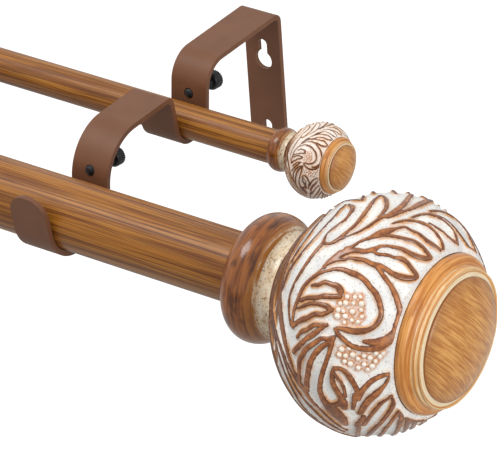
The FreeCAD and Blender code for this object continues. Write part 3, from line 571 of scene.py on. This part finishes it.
def washed_carving(name, tones):
    """The ball: brown glaze left on the raised lines, white wash in what was cut away."""
    made, tree, shader = material(name)
    place = object_place(tree)
    lathe, station = lathe_values(tree)
    fleck = use(tree, FLECKS, {"Vector": place, "Size": 0.9 * MM, "Share": 0.62})
    mottle = noise(tree, place, 420.0, 3.0, 0.6)
    slow = noise(tree, place, 70.0, 2.0, 0.5)
    # millimetres from the edge of the nearest line, made uneven
    edge = carried(tree, "off_ridge")
    for roughened, amount in ((mottle, 0.7), (fleck["Grit"], 0.5)):
        edge = maths(tree, "MULTIPLY_ADD", maths(tree, "SUBTRACT", roughened, 0.5), amount, edge)
    # the glaze is rubbed pale on a line's crest, and its foot is darkened: glaze gathered there,
    # with painted shade in the crease
    glaze = blend(tree, fade(tree, mottle, 0.35, 0.65), tones["crest"], tones["rubbed"])
    glaze = blend(tree, fade(tree, slow, 0.42, 0.66, 0.0, 0.65), glaze, (102, 52, 20))
    glaze = blend(tree, fade(tree, station, 0.5, 0.36, 0.0, 0.7), glaze, (104, 58, 26))
    # painted shade with gathered glaze: a dark band along the foot of every line
    glaze = blend(tree, fade(tree, edge, -0.5, 0.05), glaze, (80, 38, 14))
    # the wash is cloudy between a greyer and a paler tone, flecked, and stained at the neck,
    # beside the lines and between the pearls
    wash = blend(tree, fleck["Cloud"], tones["hollow"], tones["ground"])
    wash = lay(tree, wash, fleck["Flecks"], 0.45, (150, 128, 108))
    brushed = noise(tree, stretch(tree, lathe, (55, 1.6, 1.6)), 1.0, 2.0, 0.5)
    wash = lay(tree, wash, fade(tree, station, 0.38, 0.3), fade(tree, brushed, 0.4, 0.5),
               (122, 72, 30))
    wash = lay(tree, wash, fade(tree, slow, 0.4, 0.6, 0.15, 1.0), fade(tree, edge, 1.6, 0.1),
               (214, 148, 76))
    wash = lay(tree, wash, fade(tree, carried(tree, "off_pearl"), 2.9, 1.3),
               fade(tree, fleck["Grit"], 0.4, 0.6, 0.45, 1.0), (204, 128, 60))
    colour = blend(tree, fade(tree, edge, 0.0, 0.25), glaze, wash)
    finish_shader(tree, shader, colour, fade(tree, edge, 0.0, 0.4, 0.26, 0.55), fleck["Grit"],
                  0.06 * MM, Coat_Weight=0.2, Coat_Roughness=0.2)
    return made


# ---- turned shapes

TURNED_FACES, SCREW_FACES = 160, 48    # round the finials' turned parts and round a screw


def arc(start, end, radius, side, steps):
    """Points of an arc between two (x, r) points. side 1 bulges outwards, -1 inwards."""
    start, end = np.array(start, float), np.array(end, float)
    chord = end - start
    half = np.hypot(*chord) / 2
    across = np.array([-chord[1], chord[0]]) / (2 * half)
    centre = (start + end) / 2 - side * across * math.sqrt(max(radius ** 2 - half ** 2, 0))
    first = math.atan2(*(start - centre)[::-1])
    sweep = 2 * math.asin(min(half / radius, 1))
    angles = first - side * np.linspace(0, sweep, steps + 1)
    return np.stack([centre[0] + radius * np.cos(angles),
                     centre[1] + radius * np.sin(angles)], 1)


def crest_radius(half, fall):
    """Radius of the arc that is level at its crest and has fallen this much after half its run."""
    return (half * half + fall * fall) / (fall * 2)


def bowed_radius(run, fall, depth):
    """Radius of the arc between two points, from how far its middle stands off their line."""
    return ((run * run + fall * fall) / 4 + depth * depth) / (depth * 2)


def profile(*stretches):
    """Joins stretches of (x, r) points end to end. Each stretch gives the station at its start
    and at its end. Also gives the places of the corners between stretches, which stay crisp."""
    points, stations, corners = [], [], []
    for first, last, run in stretches:
        run = np.array(run, float)
        marks = np.linspace(first, last, len(run))
        if points:
            run, marks = run[1:], marks[1:]
        points.extend(run)
        stations.extend(marks)
        corners.append(len(points) - 1)
    return np.array(points), np.array(stations), corners


def turns_of(count):
    return np.linspace(0, 2 * math.pi, count, endpoint=False)


def turned(points, stations, count):
    """A profile turned round: x, r and angle of every point, and the lathe attribute."""
    x, r = (np.repeat(points[:, k, None], count, 1) for k in (0, 1))
    angle = np.broadcast_to(turns_of(count), x.shape)
    lathe = np.stack([np.repeat(stations[:, None], count, 1), np.cos(angle), np.sin(angle)], -1)
    return x, r, angle, lathe


def ring_mesh(name, rings, lathe, corners, finish, closed=True, fields=None):
    """A mesh from rings of points, in metres, rings[ring, turn]. A closed profile comes back to
    its first ring, and an open one ends in a point on the axis. Rings at corners stay crisp.
    Fields are further values that the mesh carries."""
    count, turns = rings.shape[:2]
    vertices, lathe = rings.reshape(-1, 3), lathe.reshape(-1, 3)
    values = {key: np.asarray(value).reshape(-1) for key, value in (fields or {}).items()}
    here = np.arange(turns)
    ahead = np.roll(here, -1)
    faces = []
    for ring in range(count if closed else count - 1):
        this, other = ring * turns, (ring + 1) % count * turns
        faces.append(np.stack([this + here, this + ahead, other + ahead, other + here], 1))
    faces = np.concatenate(faces).tolist()
    if not closed:
        end, last = len(vertices), (count - 1) * turns
        vertices = np.concatenate([vertices, rings[[0, -1]].mean(1)])
        lathe = np.concatenate([lathe, lathe[[0, -1]] * (1, 0, 0)])
        pairs = list(zip(here.tolist(), ahead.tolist()))
        faces += [(end, b, a) for a, b in pairs]
        faces += [(end + 1, last + a, last + b) for a, b in pairs]
    mesh = bpy.data.meshes.new(name)
    mesh.from_pydata(vertices.tolist(), [], faces)
    mesh.materials.append(finish)
    mesh.calc_loop_triangles()
    thirds = np.zeros(len(mesh.loop_triangles) * 3, np.int32)
    mesh.loop_triangles.foreach_get("vertices", thirds)
    a, b, c = vertices[thirds.reshape(-1, 3)].transpose(1, 0, 2)
    inside_out = np.einsum("ij,ij->i", a, np.cross(b, c)).sum() < 0
    if inside_out:
        mesh.flip_normals()
    mesh.attributes.new("lathe", "FLOAT_VECTOR", "POINT").data.foreach_set(
        "vector", lathe.astype(np.float32).ravel())
    for key, value in values.items():
        mesh.attributes.new(key, "FLOAT", "POINT").data.foreach_set(
            "value", value.astype(np.float32))
    ends = np.zeros(len(mesh.edges) * 2, np.int32)
    mesh.edges.foreach_get("vertices", ends)
    ring_of = ends.reshape(-1, 2) // turns
    crisp = (ring_of[:, 0] == ring_of[:, 1]) & np.isin(ring_of[:, 0], list(corners))
    mesh.shade_smooth()
    mesh.attributes.new("sharp_edge", "BOOLEAN", "EDGE").data.foreach_set("value", crisp)
    mesh.update()
    return mesh


def place_object(name, data):
    """A new object in the scene."""
    made = bpy.data.objects.new(name, data)
    bpy.context.scene.collection.objects.link(made)
    return made


def add_piece(name, mesh, body, slot, *nodes):
    """Puts a finished mesh in the scene, on its body and in place of its nodes."""
    piece = place_object(name, mesh)
    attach(piece, body)
    if nodes:
        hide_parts(*nodes)


class Axis:
    """The axis that a finial is turned on: where the pole ends, and which way it points."""

    def __init__(self, finial):
        self.sizes, self.body, self.turned_round = FINIALS[finial]
        low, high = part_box(finial + "_collar")
        self.start = high.x if self.turned_round else low.x
        self.middle = ((low.y + high.y) / 2, (low.z + high.z) / 2)
        self.way = -1 if self.turned_round else 1

    def ring_points(self, x, r, turn):
        """Points in metres. x and r are millimetres, turn is radians up from the room side."""
        return np.stack(np.broadcast_arrays(
            self.start + self.way * x * MM,
            self.middle[0] - self.way * r * np.cos(turn) * MM,
            self.middle[1] + r * np.sin(turn) * MM), -1)

    def turn_piece(self, node, points, stations, corners, closed, finish, slot):
        """Turns a profile on this axis, in place of its node."""
        x, r, angle, lathe = turned(points, stations, TURNED_FACES)
        mesh = ring_mesh(node, self.ring_points(x, r, angle), lathe, corners, finish, closed)
        add_piece(node + "_turned", mesh, self.body, slot, node)


def collar(finial, finish):
    """Bead and cove, with crisp edges either side of the bead."""
    axis = Axis(finial)
    s = axis.sizes
    half, end = s["bead_half"], s["bead_half"] * 2 + s["neck_length"]
    shoulder = s["bead_radius"] - s["bead_fall"]
    bead_in, bead_top = (0, s["bead_land"]), (half, s["bead_radius"])
    bead_out, neck = (half * 2, shoulder), (end, s["neck_radius"])
    rise = arc(bead_in, bead_top, crest_radius(half, s["bead_radius"] - s["bead_land"]), 1, 16)
    fall = arc(bead_top, bead_out, crest_radius(half, s["bead_fall"]), 1, 14)
    cove = arc(bead_out, neck, bowed_radius(s["neck_length"], shoulder - s["neck_radius"],
                                            s["cove_depth"]), -1, 14)
    bore, socket = s["bore"], s["socket"]
    points, stations, corners = profile(
        (0, 0, [(0, s["collar_bore"]), bead_in]), (0, 0.5, rise), (0.5, 1, fall),
        (1, 2, cove), (2, 2, [neck, (end, bore)]), (2, 2, [(end, bore), (socket, bore)]),
        (2, 2, [(socket, bore), (socket, s["collar_bore"])]))
    corners = [0] + [k for k in corners if k != len(rise)]
    axis.turn_piece(finial + "_collar", points, stations, corners, True, finish,
                    "dark_turning")


# of the button: the two beads of its band as a share of the band's rise, the hollow ring and
# the dome's bowed side as a share of their runs, and the tenon's slack in millimetres
BEAD_DEPTH, HOLLOW_DEPTH, SIDE_BOW = 0.09, 0.16, 0.12
TENON_ROUND_SLACK, TENON_END_SLACK = 0.05, 0.1


def button(finial, finish):
    """Rim, washed rings and dome, with the tenon that goes into the ball."""
    axis = Axis(finial)
    s = axis.sizes
    low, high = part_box(finial + "_button")
    tip = abs((low.x if axis.turned_round else high.x) - axis.start) / MM
    rim, thick, rise = s["rim_radius"], s["rim_thick"], s["step_rise"]
    seat = tip - (thick + rise + s["dome_side"] + s["dome_rise"])
    edge, step = thick / 2, rim - s["rim_to_step"]
    dome, top = step - s["step_to_dome"], seat + thick + rise
    under, widest = (seat, rim - s["rim_round"]), (seat + edge, rim)
    over, shoulder = (seat + thick, rim - edge), (top + s["dome_side"], dome)
    under_rim = arc(under, widest, crest_radius(edge, s["rim_round"]), 1, 8)
    over_rim = arc(widest, over, edge, 1, 10)
    # the band between rim and step carries two beads with a groove beside each
    share = np.linspace(0, 1, 33)
    ripple = BEAD_DEPTH * rise * (np.cos(share * 4 * math.pi) - 1)
    band = np.stack([over[0] + share * rise,
                     over[1] - share * (rim - edge - step) + ripple], 1)
    share = np.linspace(0, 1, 13)
    hollow = np.stack([top - HOLLOW_DEPTH * s["step_to_dome"] * np.sin(share * math.pi),
                       step - share * s["step_to_dome"]], 1)
    side = arc((top, dome), shoulder,
               bowed_radius(s["dome_side"], 0, SIDE_BOW * s["dome_side"]), 1, 6)
    crown = arc(shoulder, (tip, 0), crest_radius(dome, s["dome_rise"]), 1, 30)[:-1]
    tenon = s["tenon"] - TENON_ROUND_SLACK
    back = seat - s["tenon_length"] + TENON_END_SLACK
    points, stations, corners = profile(
        (0, 0, [(back, 0.5), (back, tenon)]), (0, 0, [(back, tenon), (seat, tenon)]),
        (0, 0, [(seat, tenon), under]), (0, 0.5, under_rim), (0.5, 1, over_rim),
        (1, 2, band), (2, 3, hollow), (3, 3.2, side), (3.2, 4, crown))
    corners = [corners[k] for k in (0, 1, 2, 6)]
    axis.turn_piece(finial + "_button", points, stations, corners, False, finish,
                    "honey_turning")


# ---- the carving, in the front ball's millimetres

BALL_RINGS, BALL_TURNS = 150, 640      # of the front ball. The rear one has half as many
BOLDNESS = 1.22                        # the lines are this much wider at their foot
FINER_LINES = 0.22                     # the rear ball's lines are drawn in by this much
FAR = 4.0                              # no raised line is felt further off than this
CREST_DROP, CREST_EDGE = 0.28, 0.7     # a line's crest is rounded by this, over this width
WALL_DROP, WALL_RUN = 0.85, 0.42       # then it falls steeply to the ground,
DISH_DROP, DISH_RUN = 0.12, 3          # which is dished
GROUND_DEPTH = CREST_DROP + WALL_DROP + DISH_DROP
PEARL_RADIUS, PEARL_UNEVENNESS, PEARL_SEED = 1.05, 0.28, 4
PEARL_STANDS = 0.2                     # a pearl's middle is this far above the ground
SECTORS, SECTOR_REACH = 32, 24         # the ball is measured in sectors, with lines this near


class BallShape:
    """The turned ball under the carving: a crown between two flatter faces."""

    def __init__(self, s):
        self.crown, ball = s["crown"], s["ball_radius"]
        self.rise, self.face = ball - self.crown, ball + s["face_flatter"]
        between = self.face - self.crown
        self.centre_in = math.sqrt(between ** 2 - self.rise ** 2)
        self.join = self.centre_in * self.crown / between
        self.first = s["bead_half"] * 2 + s["neck_length"]
        in_reach, out_reach = (math.sqrt(self.face ** 2 - s[end] ** 2)
                               for end in ("neck_radius", "seat_radius"))
        self.middle = self.first + in_reach - self.centre_in
        self.last = self.middle + out_reach - self.centre_in
        self.x = np.linspace(self.first, self.last, 4001)
        self.r = self.radius(self.x)
        steps = np.hypot(np.diff(self.x), np.diff(self.r))
        self.along = np.concatenate([[0], np.cumsum(steps)])
        self.length = self.along[-1]

    def radius(self, x):
        off = np.abs(x - self.middle)
        on_face = np.sqrt(np.maximum(self.face ** 2 - (off + self.centre_in) ** 2, 0))
        on_crown = self.rise + np.sqrt(np.maximum(self.crown ** 2 - off ** 2, 0))
        return np.where(off > self.join, on_face, on_crown)

    def at(self, along):
        """x, r and the outward direction (nx, nr) at a distance along the profile."""
        x, r, slope_x, slope_r = (
            np.interp(along, self.along, value)
            for value in (self.x, self.r, np.gradient(self.x, self.along),
                          np.gradient(self.r, self.along)))
        return x, r, -slope_r, slope_x

    def point(self, along, turn):
        """Points of the uncarved ball, round its own axis."""
        x, r, _, _ = self.at(along)
        return np.stack(np.broadcast_arrays(x, r * np.cos(turn), r * np.sin(turn)), -1)


def both_halves(rows):
    """Rows that start with a turn, and the same rows on the ball's other half."""
    return rows + [(turn + HALF_TURN, *rest) for turn, *rest in rows]


def carved_line(points, shape, step=0.4):
    """A raised line drawn smoothly through its points: places every step, and widths."""
    points = np.array(points, float)
    padded = np.concatenate([[2 * points[0] - points[1]], points,
                             [2 * points[-1] - points[-2]]])
    drawn = []
    for before, here, there, after in zip(padded, padded[1:], padded[2:], padded[3:]):
        radius = shape.at((here[1] + there[1]) / 2)[1]
        gap = math.hypot(math.radians(there[0] - here[0]) * radius, there[1] - here[1])
        t = np.linspace(0, 1, max(int(gap / step), 1), endpoint=False)[:, None]
        drawn.append(0.5 * (2 * here + (there - before) * t
                            + (2 * before - 5 * here + 4 * there - after) * t ** 2
                            + (3 * here - before - 3 * there + after) * t ** 3))
    return np.concatenate(drawn + [points[-1:]])


def carving_fields(shape):
    """For the front ball's grid: how far each place is from the edge of the nearest raised
    line (negative on it), and from the nearest pearl's middle."""
    lines = [carved_line(row, shape) for row in CUT_TWICE.values()]
    lines += [line + (HALF_TURN, 0, 0) for line in lines]
    lines += [carved_line(row, shape) for row in CUT_ONCE.values()]
    drawn = np.concatenate(lines)
    line_at = shape.point(np.clip(drawn[:, 1], 0, shape.length), np.radians(drawn[:, 0]))
    half = drawn[:, 2] / 2 * BOLDNESS
    pearls = np.array(both_halves(PEARLS), float)
    pearl_at = shape.point(pearls[:, 1], np.radians(pearls[:, 0]))
    along, turn = np.linspace(0, shape.length, BALL_RINGS), turns_of(BALL_TURNS)
    off_ridge, off_pearl = (np.full((BALL_RINGS, BALL_TURNS), FAR) for _ in range(2))
    wide = BALL_TURNS // SECTORS
    for start in range(0, BALL_TURNS, wide):
        turns = turn[start:start + wide]
        place = shape.point(along[:, None], turns[None, :]).reshape(-1, 3)
        away = drawn[:, 0] - math.degrees(turns.mean())
        near = np.abs((away + HALF_TURN) % (2 * HALF_TURN) - HALF_TURN) < SECTOR_REACH
        for ends, reach, field in ((line_at[near], half[near], off_ridge),
                                   (pearl_at, np.zeros(len(pearl_at)), off_pearl)):
            gap = ((place ** 2).sum(1)[:, None] + (ends ** 2).sum(1)[None]
                   - 2 * place @ ends.T)
            gap = (np.sqrt(np.maximum(gap, 0)) - reach[None]).min(1)
            field[:, start:start + wide] = np.minimum(gap, FAR).reshape(BALL_RINGS, -1)
    return along, turn, off_ridge, off_pearl


def relief(off_ridge):
    """Depth under the turned surface: rounded lines, steep gouged sides, dished ground."""
    rounding = CREST_DROP * np.clip(1 + off_ridge / CREST_EDGE, 0, 1) ** 2
    wall = 1 - np.exp(-np.clip(off_ridge, 0, None) / WALL_RUN)
    dish = np.clip(off_ridge / DISH_RUN, 0, 1) ** 2
    return rounding + WALL_DROP * wall + DISH_DROP * dish


def carved_ball(finial, fields, finish):
    """The ball with its carving cut in, closed inside as the turner bored it."""
    axis = Axis(finial)
    s = axis.sizes
    small = s is REAR_FINIAL
    thin = 2 if small else 1
    along, turn, off_ridge, off_pearl = fields
    along, turn = along[::thin], turn[::thin]
    off_ridge, off_pearl = off_ridge[::thin, ::thin], off_pearl[::thin, ::thin]
    if small:
        off_ridge = off_ridge + FINER_LINES
    shape = BallShape(s)
    own_along = along / along[-1] * shape.length
    x, r, out_x, out_r = (value[:, None] for value in shape.at(own_along))
    # the carving runs out to nothing at the neck
    depth = relief(off_ridge) * s["relief"]
    depth = depth * np.clip(own_along / (1.5 * s["relief"]), 0, 1)[:, None]
    angle = np.broadcast_to(turn, depth.shape)
    outer = axis.ring_points(x - out_x * depth, r - out_r * depth, angle)
    share = np.broadcast_to(own_along[:, None] / shape.length, depth.shape)
    lathe = np.stack([share, np.cos(angle), np.sin(angle)], -1)
    last, floor = shape.last, shape.last - s["let_in"]
    end = floor - s["tenon_length"]
    inner = np.array([(last, s["pocket"]), (floor, s["pocket"]), (floor, s["tenon"]),
                      (end, s["tenon"]), (end, s["bore"]), (shape.first, s["bore"])])
    *inside, inside_lathe = turned(inner, np.ones(len(inner)), len(turn))
    blank = np.full((len(inner), len(turn)), FAR)
    count, node = len(along), finial + "_carved_ball"
    mesh = ring_mesh(node, np.concatenate([outer, axis.ring_points(*inside)]),
                     np.concatenate([lathe, inside_lathe]),
                     [0, count - 1, *range(count, count + len(inner))], finish,
                     fields={"off_ridge": np.concatenate([off_ridge, blank]),
                             "off_pearl": np.concatenate([off_pearl, blank])})
    add_piece(node + "_relief", mesh, axis.body, "washed_carving", node)


# ---- what repeats, by geometry nodes

def geometry_tree(name, inputs):
    """A geometry node tree with further inputs, and its two end nodes."""
    return new_tree("GeometryNodeTree", name,
                    {"Geometry": "Geometry", **inputs, "Finish": "Material"},
                    {"Geometry": "Geometry"})


def give_out(tree, given, out, geometry):
    """Ends a geometry node tree: what it made, as one mesh with the finish on it."""
    real = result(tree, "GeometryNodeRealizeInstances", {"Geometry": geometry})
    finished = result(tree, "GeometryNodeSetMaterial",
                      {"Geometry": real, "Material": given["Finish"]})
    put(tree, finished, out["Geometry"])
    return tree


def grown_mesh(name, base, tree, values):
    """Runs a geometry node tree on a base mesh and gives the result as a plain mesh."""
    holder = place_object(name, base)
    modifier = holder.modifiers.new(name, "NODES")
    modifier.node_group = tree
    for item in tree.interface.items_tree:
        if item.in_out == "INPUT" and item.name in values:
            modifier[item.identifier] = values[item.name]
    graph = bpy.context.evaluated_depsgraph_get()
    mesh = bpy.data.meshes.new_from_object(holder.evaluated_get(graph))
    holder.modifiers.remove(modifier)
    bpy.data.objects.remove(holder)
    return mesh


def pearl_tree():
    """A small bead at each given point, each a little different in size."""
    tree, given, out = geometry_tree(
        "pearls", {"Radius": "Float", "Least": "Float", "Most": "Float", "Seed": "Int"})
    bead = result(tree, "GeometryNodeMeshIcoSphere",
                  {"Radius": given["Radius"], "Subdivisions": 2})
    smooth = result(tree, "GeometryNodeSetShadeSmooth", {"Geometry": bead})
    size = add(tree, "FunctionNodeRandomValue",
               {2: given["Least"], 3: given["Most"], "Seed": given["Seed"]},
               data_type="FLOAT").outputs[1]
    placed = result(tree, "GeometryNodeInstanceOnPoints",
                    {"Points": given["Geometry"], "Instance": smooth, "Scale": size})
    return give_out(tree, given, out, placed)


def pearls(finial, tree, finish):
    """The pearls of one ball, standing on its ground."""
    axis = Axis(finial)
    shape, scale = BallShape(axis.sizes), axis.sizes["relief"]
    turn, along = np.array(both_halves(PEARLS), float).T
    along = along / BallShape(FRONT_FINIAL).length * shape.length
    x, r, out_x, out_r = shape.at(along)
    sunk = (GROUND_DEPTH - PEARL_STANDS) * scale
    centres = axis.ring_points(x - out_x * sunk, r - out_r * sunk, np.radians(turn))
    base = bpy.data.meshes.new(finial + "_pearl_places")
    base.from_pydata(centres.tolist(), [], [])
    mesh = grown_mesh(finial + "_pearls", base, tree,
                      {"Radius": PEARL_RADIUS * scale * MM, "Least": 1 - PEARL_UNEVENNESS,
                       "Most": 1 + PEARL_UNEVENNESS, "Seed": PEARL_SEED, "Finish": finish})
    add_piece(finial + "_pearls", mesh, axis.body, "washed_carving")


def thread_tree():
    """A screw's thread: a ridge wound round its core."""
    tree, given, out = geometry_tree(
        "thread", dict.fromkeys(("Turns", "Radius", "Length", "Ridge"), "Float"))
    spiral = result(tree, "GeometryNodeCurveSpiral",
                    {"Resolution": 24, "Rotations": given["Turns"],
                     "Start Radius": given["Radius"], "End Radius": given["Radius"],
                     "Height": given["Length"]})
    section = result(tree, "GeometryNodeCurvePrimitiveCircle",
                     {"Resolution": 4, "Radius": given["Ridge"]})
    wound = result(tree, "GeometryNodeCurveToMesh",
                   {"Curve": spiral, "Profile Curve": section, "Fill Caps": True})
    return give_out(tree, given, out, wound)


def rib_tree():
    """The gripping ribs round a lock screw's head."""
    tree, given, out = geometry_tree(
        "grip_ribs", {"Count": "Int", "Radius": "Float", "Rib": "Float", "Length": "Float"})
    ring = result(tree, "GeometryNodeMeshCircle",
                  {"Vertices": given["Count"], "Radius": given["Radius"]})
    rib = result(tree, "GeometryNodeMeshCylinder",
                 {"Vertices": 6, "Radius": given["Rib"], "Depth": given["Length"]})
    placed = result(tree, "GeometryNodeInstanceOnPoints", {"Points": ring, "Instance": rib})
    return give_out(tree, given, out, placed)


# ---- lock screws

LEAN = math.radians(7)                 # the screws point square to their leaning legs
# In millimetres. The head is domed at its end, and the knob is its radius over the ribs.
SCREW = {"radius": 2.5, "core": 2.1, "length": 17, "tip": 0.5, "knob": 4.4, "head": 4.15,
         "thick": 6, "edge": 0.9, "flat_top": 0.6, "dome_radius": 6.64, "ribs": 28,
         "rib": 0.3, "pitch": 0.8, "thread": 0.4}


def screw_parts(finish):
    """The thumb screw's parts, standing on the head's end: head and shank, ribs, thread."""
    s = SCREW
    core, head, thick, edge = s["core"], s["head"], s["thick"], s["edge"]
    end = thick + s["length"]
    points, stations, corners = profile(
        (0, 0.3, arc((0, s["flat_top"]), (edge, head), s["dome_radius"], 1, 8)),
        (0.3, 0.6, [(edge, head), (thick - edge, head)]),
        (0.6, 0.8, arc((thick - edge, head), (thick, head - edge), edge, 1, 5)),
        (0.8, 0.8, [(thick, head - edge), (thick, core)]),
        (0.8, 1, [(thick, core), (end - s["tip"], core)]),
        (1, 1, [(end - s["tip"], core), (end, core - s["tip"])]))
    z, r, angle, lathe = turned(points, stations, SCREW_FACES)
    rings = np.stack([r * np.cos(angle), r * np.sin(angle), z], -1) * MM
    parts = {"turned": ring_mesh("screw", rings, lathe, corners[:-1], finish, closed=False)}
    threaded = s["length"] - s["tip"] - s["pitch"]
    for part, tree, along, values in (
            ("ribs", rib_tree(), thick / 2,
             {"Count": s["ribs"], "Radius": (s["knob"] - s["rib"]) * MM, "Rib": s["rib"] * MM,
              "Length": (thick - 2 * edge) * MM}),
            ("thread", thread_tree(), thick + s["thread"],
             {"Turns": threaded / s["pitch"], "Radius": (s["radius"] - s["thread"]) * MM,
              "Length": threaded * MM, "Ridge": s["thread"] * MM})):
        parts[part] = grown_mesh(part, bpy.data.meshes.new(part + "_start"), tree,
                                 {**values, "Finish": finish})
        parts[part].transform(Matrix.Translation((0, 0, along * MM)))
    return parts


def lock_screw(node, parts):
    """Stands a screw in its node's place: its tip is the lowest in y and the highest in z."""
    low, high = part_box(node)
    radius = SCREW["radius"] * MM
    into = Vector((0, -math.cos(LEAN), math.sin(LEAN)))
    tip = Vector(((low.x + high.x) / 2, low.y + radius * math.sin(LEAN),
                  high.z - radius * math.cos(LEAN)))
    head_end = tip - into * (SCREW["length"] + SCREW["thick"]) * MM
    place = Matrix.Translation(head_end) @ into.to_track_quat("Z", "Y").to_matrix().to_4x4()
    for part, made in parts.items():
        mesh = made.copy()
        mesh.transform(place)
        replaced = [node] if part == "turned" else []
        add_piece(f"{node}_{part}", mesh, node, "black_screw", *replaced)


# ---- stage and camera

WHITE = (1, 1, 1, 1)
# lamp: (its place, what it points at, its side in metres, its watts)
LAMPS = {
    "key": ((-0.8, -0.9, 2.4), (0, -0.1, 0), 1.1, 34),
    "fill": ((2.7, -0.8, 0.6), (0.1, -0.1, 0), 1.2, 33),
}
WORLD_LIGHT, WORLD_SEEN = 0.58, 1.0
FLOOR_HEIGHT, FLOOR_REACH, FLOOR_GREY = -0.32, 12, 0.38
FLOOR_LIFT, FLOOR_MIRRORED = 0.78, 0.3  # the floor's own light, and its share in reflections


def soft_lamp(name, place, aim, side, power):
    data = bpy.data.lights.new(name, "AREA")
    data.size, data.energy = side, power
    lamp = place_object(name, data)
    lamp.location = place
    lamp.rotation_euler = (Vector(aim) - Vector(place)).to_track_quat("-Z", "Y").to_euler()


def pale_world():
    """White to the camera and in reflections, and a softer light on everything."""
    world = bpy.data.worlds.new("white_room")
    bpy.context.scene.world = world
    world.use_nodes = True
    tree = world.node_tree
    tree.nodes.clear()
    ray = add(tree, "ShaderNodeLightPath").outputs
    direct = maths(tree, "MAXIMUM", ray["Is Camera Ray"], ray["Is Glossy Ray"])
    direct = maths(tree, "MAXIMUM", direct, ray["Is Transmission Ray"])
    dim, white = (result(tree, "ShaderNodeBackground", {"Color": WHITE, "Strength": strength})
                  for strength in (WORLD_LIGHT, WORLD_SEEN))
    mixed = result(tree, "ShaderNodeMixShader", {0: direct, 1: dim, 2: white})
    add(tree, "ShaderNodeOutputWorld", {"Surface": mixed})


def pale_floor():
    """The floor: matt grey, lifted to plain white for the camera, and keeping the shadow."""
    mesh = bpy.data.meshes.new("floor")
    mesh.from_pydata([(x * FLOOR_REACH, y * FLOOR_REACH, FLOOR_HEIGHT)
                      for x, y in ((-1, -1), (1, -1), (1, 1), (-1, 1))], [], [(0, 1, 2, 3)])
    made, tree, _ = material("floor_white")
    tree.nodes.clear()
    ray = add(tree, "ShaderNodeLightPath").outputs
    direct = maths(tree, "MAXIMUM", ray["Is Camera Ray"],
                   times(tree, ray["Is Glossy Ray"], FLOOR_MIRRORED))
    matt = result(tree, "ShaderNodeBsdfDiffuse", {"Color": (*[FLOOR_GREY] * 3, 1)})
    lift = result(tree, "ShaderNodeEmission",
                  {"Color": WHITE, "Strength": times(tree, direct, FLOOR_LIFT)})
    both = result(tree, "ShaderNodeAddShader", {0: matt, 1: lift})
    add(tree, "ShaderNodeOutputMaterial", {"Surface": both})
    mesh.materials.append(made)
    place_object("floor", mesh)


def photo_camera():
    """The photograph's viewpoint, found from the poles, the strap bends and the ball."""
    data = bpy.data.cameras.new("camera")
    data.sensor_width, data.lens = 36, 275.3
    data.clip_start, data.clip_end = 0.05, 50
    camera = place_object("camera", data)
    right, up = Vector((0.8147, 0.5767, -0.0608)), Vector((-0.2564, 0.4523, 0.8543))
    back = right.cross(up).normalized()
    right = up.cross(back).normalized()
    turn = Matrix((right, up, back)).transposed().to_4x4()
    camera.matrix_world = Matrix.Translation((0.9573, -1.2756, 0.8911)) @ turn
    bpy.context.scene.camera = camera


# ---- the object

def paint_nodes(word, finish):
    """Gives a finish to every CAD node whose name ends in the word."""
    for name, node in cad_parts.items():
        if name.endswith(word):
            node.data.materials.clear()
            node.data.materials.append(finish)


enamel = flecked_coat("brown_enamel", ((114, 74, 50), (120, 79, 55)),
                      ((92, 57, 40), 0.25, 0.7 * MM, 0.68), (0.42, 0.14), 0.03 * MM,
                      Specular_IOR_Level=0.3)
blackened = flecked_coat("blackened_steel", ((30, 31, 34), (44, 46, 50)),
                         ((84, 86, 92), 0.4, 0.4 * MM, 0.62), (0.28, 0.2), 0.04 * MM,
                         Metallic=0.35)
pearl_finish = flecked_coat("pearl_wash", ((244, 232, 214), (252, 248, 240)),
                            ((214, 170, 120), 0.4, 0.9 * MM, 0.64), (0.42, 0), 0.03 * MM,
                            Coat_Weight=0.15)
paint_nodes("bracket", enamel)
paint_nodes("outer_tube", grained_tube("grained_oak", (170, 108, 36), (124, 69, 18),
                                       (60, 27, 5), 0.34))
paint_nodes("inner_tube", grained_tube("grained_oak_inner", (162, 102, 36), (118, 65, 18),
                                       (56, 25, 6), 0.37))
paint_nodes("plug", hidden_steel("plated_insert", (168, 166, 160), (188, 186, 180)))
paint_nodes("stud", hidden_steel("threaded_steel", (150, 150, 152), (178, 178, 180)))

collar_finish = dark_turning()
finishes = {
    "front": (washed_carving("washed_carving", FRONT_WASH), honey_turning("honey_turning", 1)),
    "rear": (washed_carving("washed_small_carving", REAR_WASH),
             honey_turning("honey_small_turning", 2.2)),
}
fields = carving_fields(BallShape(FRONT_FINIAL))
bead_tree = pearl_tree()
for finial in FINIALS:
    carving_finish, button_finish = finishes[finial.split("_")[1]]
    collar(finial, collar_finish)
    carved_ball(finial, fields, carving_finish)
    pearls(finial, bead_tree, pearl_finish)
    button(finial, button_finish)

parts = screw_parts(blackened)
for corner in FINIALS:
    lock_screw(corner + "_lock_screw", parts)

pale_world()
pale_floor()
for name, values in LAMPS.items():
    soft_lamp(name, *values)
photo_camera()
bpy.context.scene.view_settings.view_transform = "Standard"
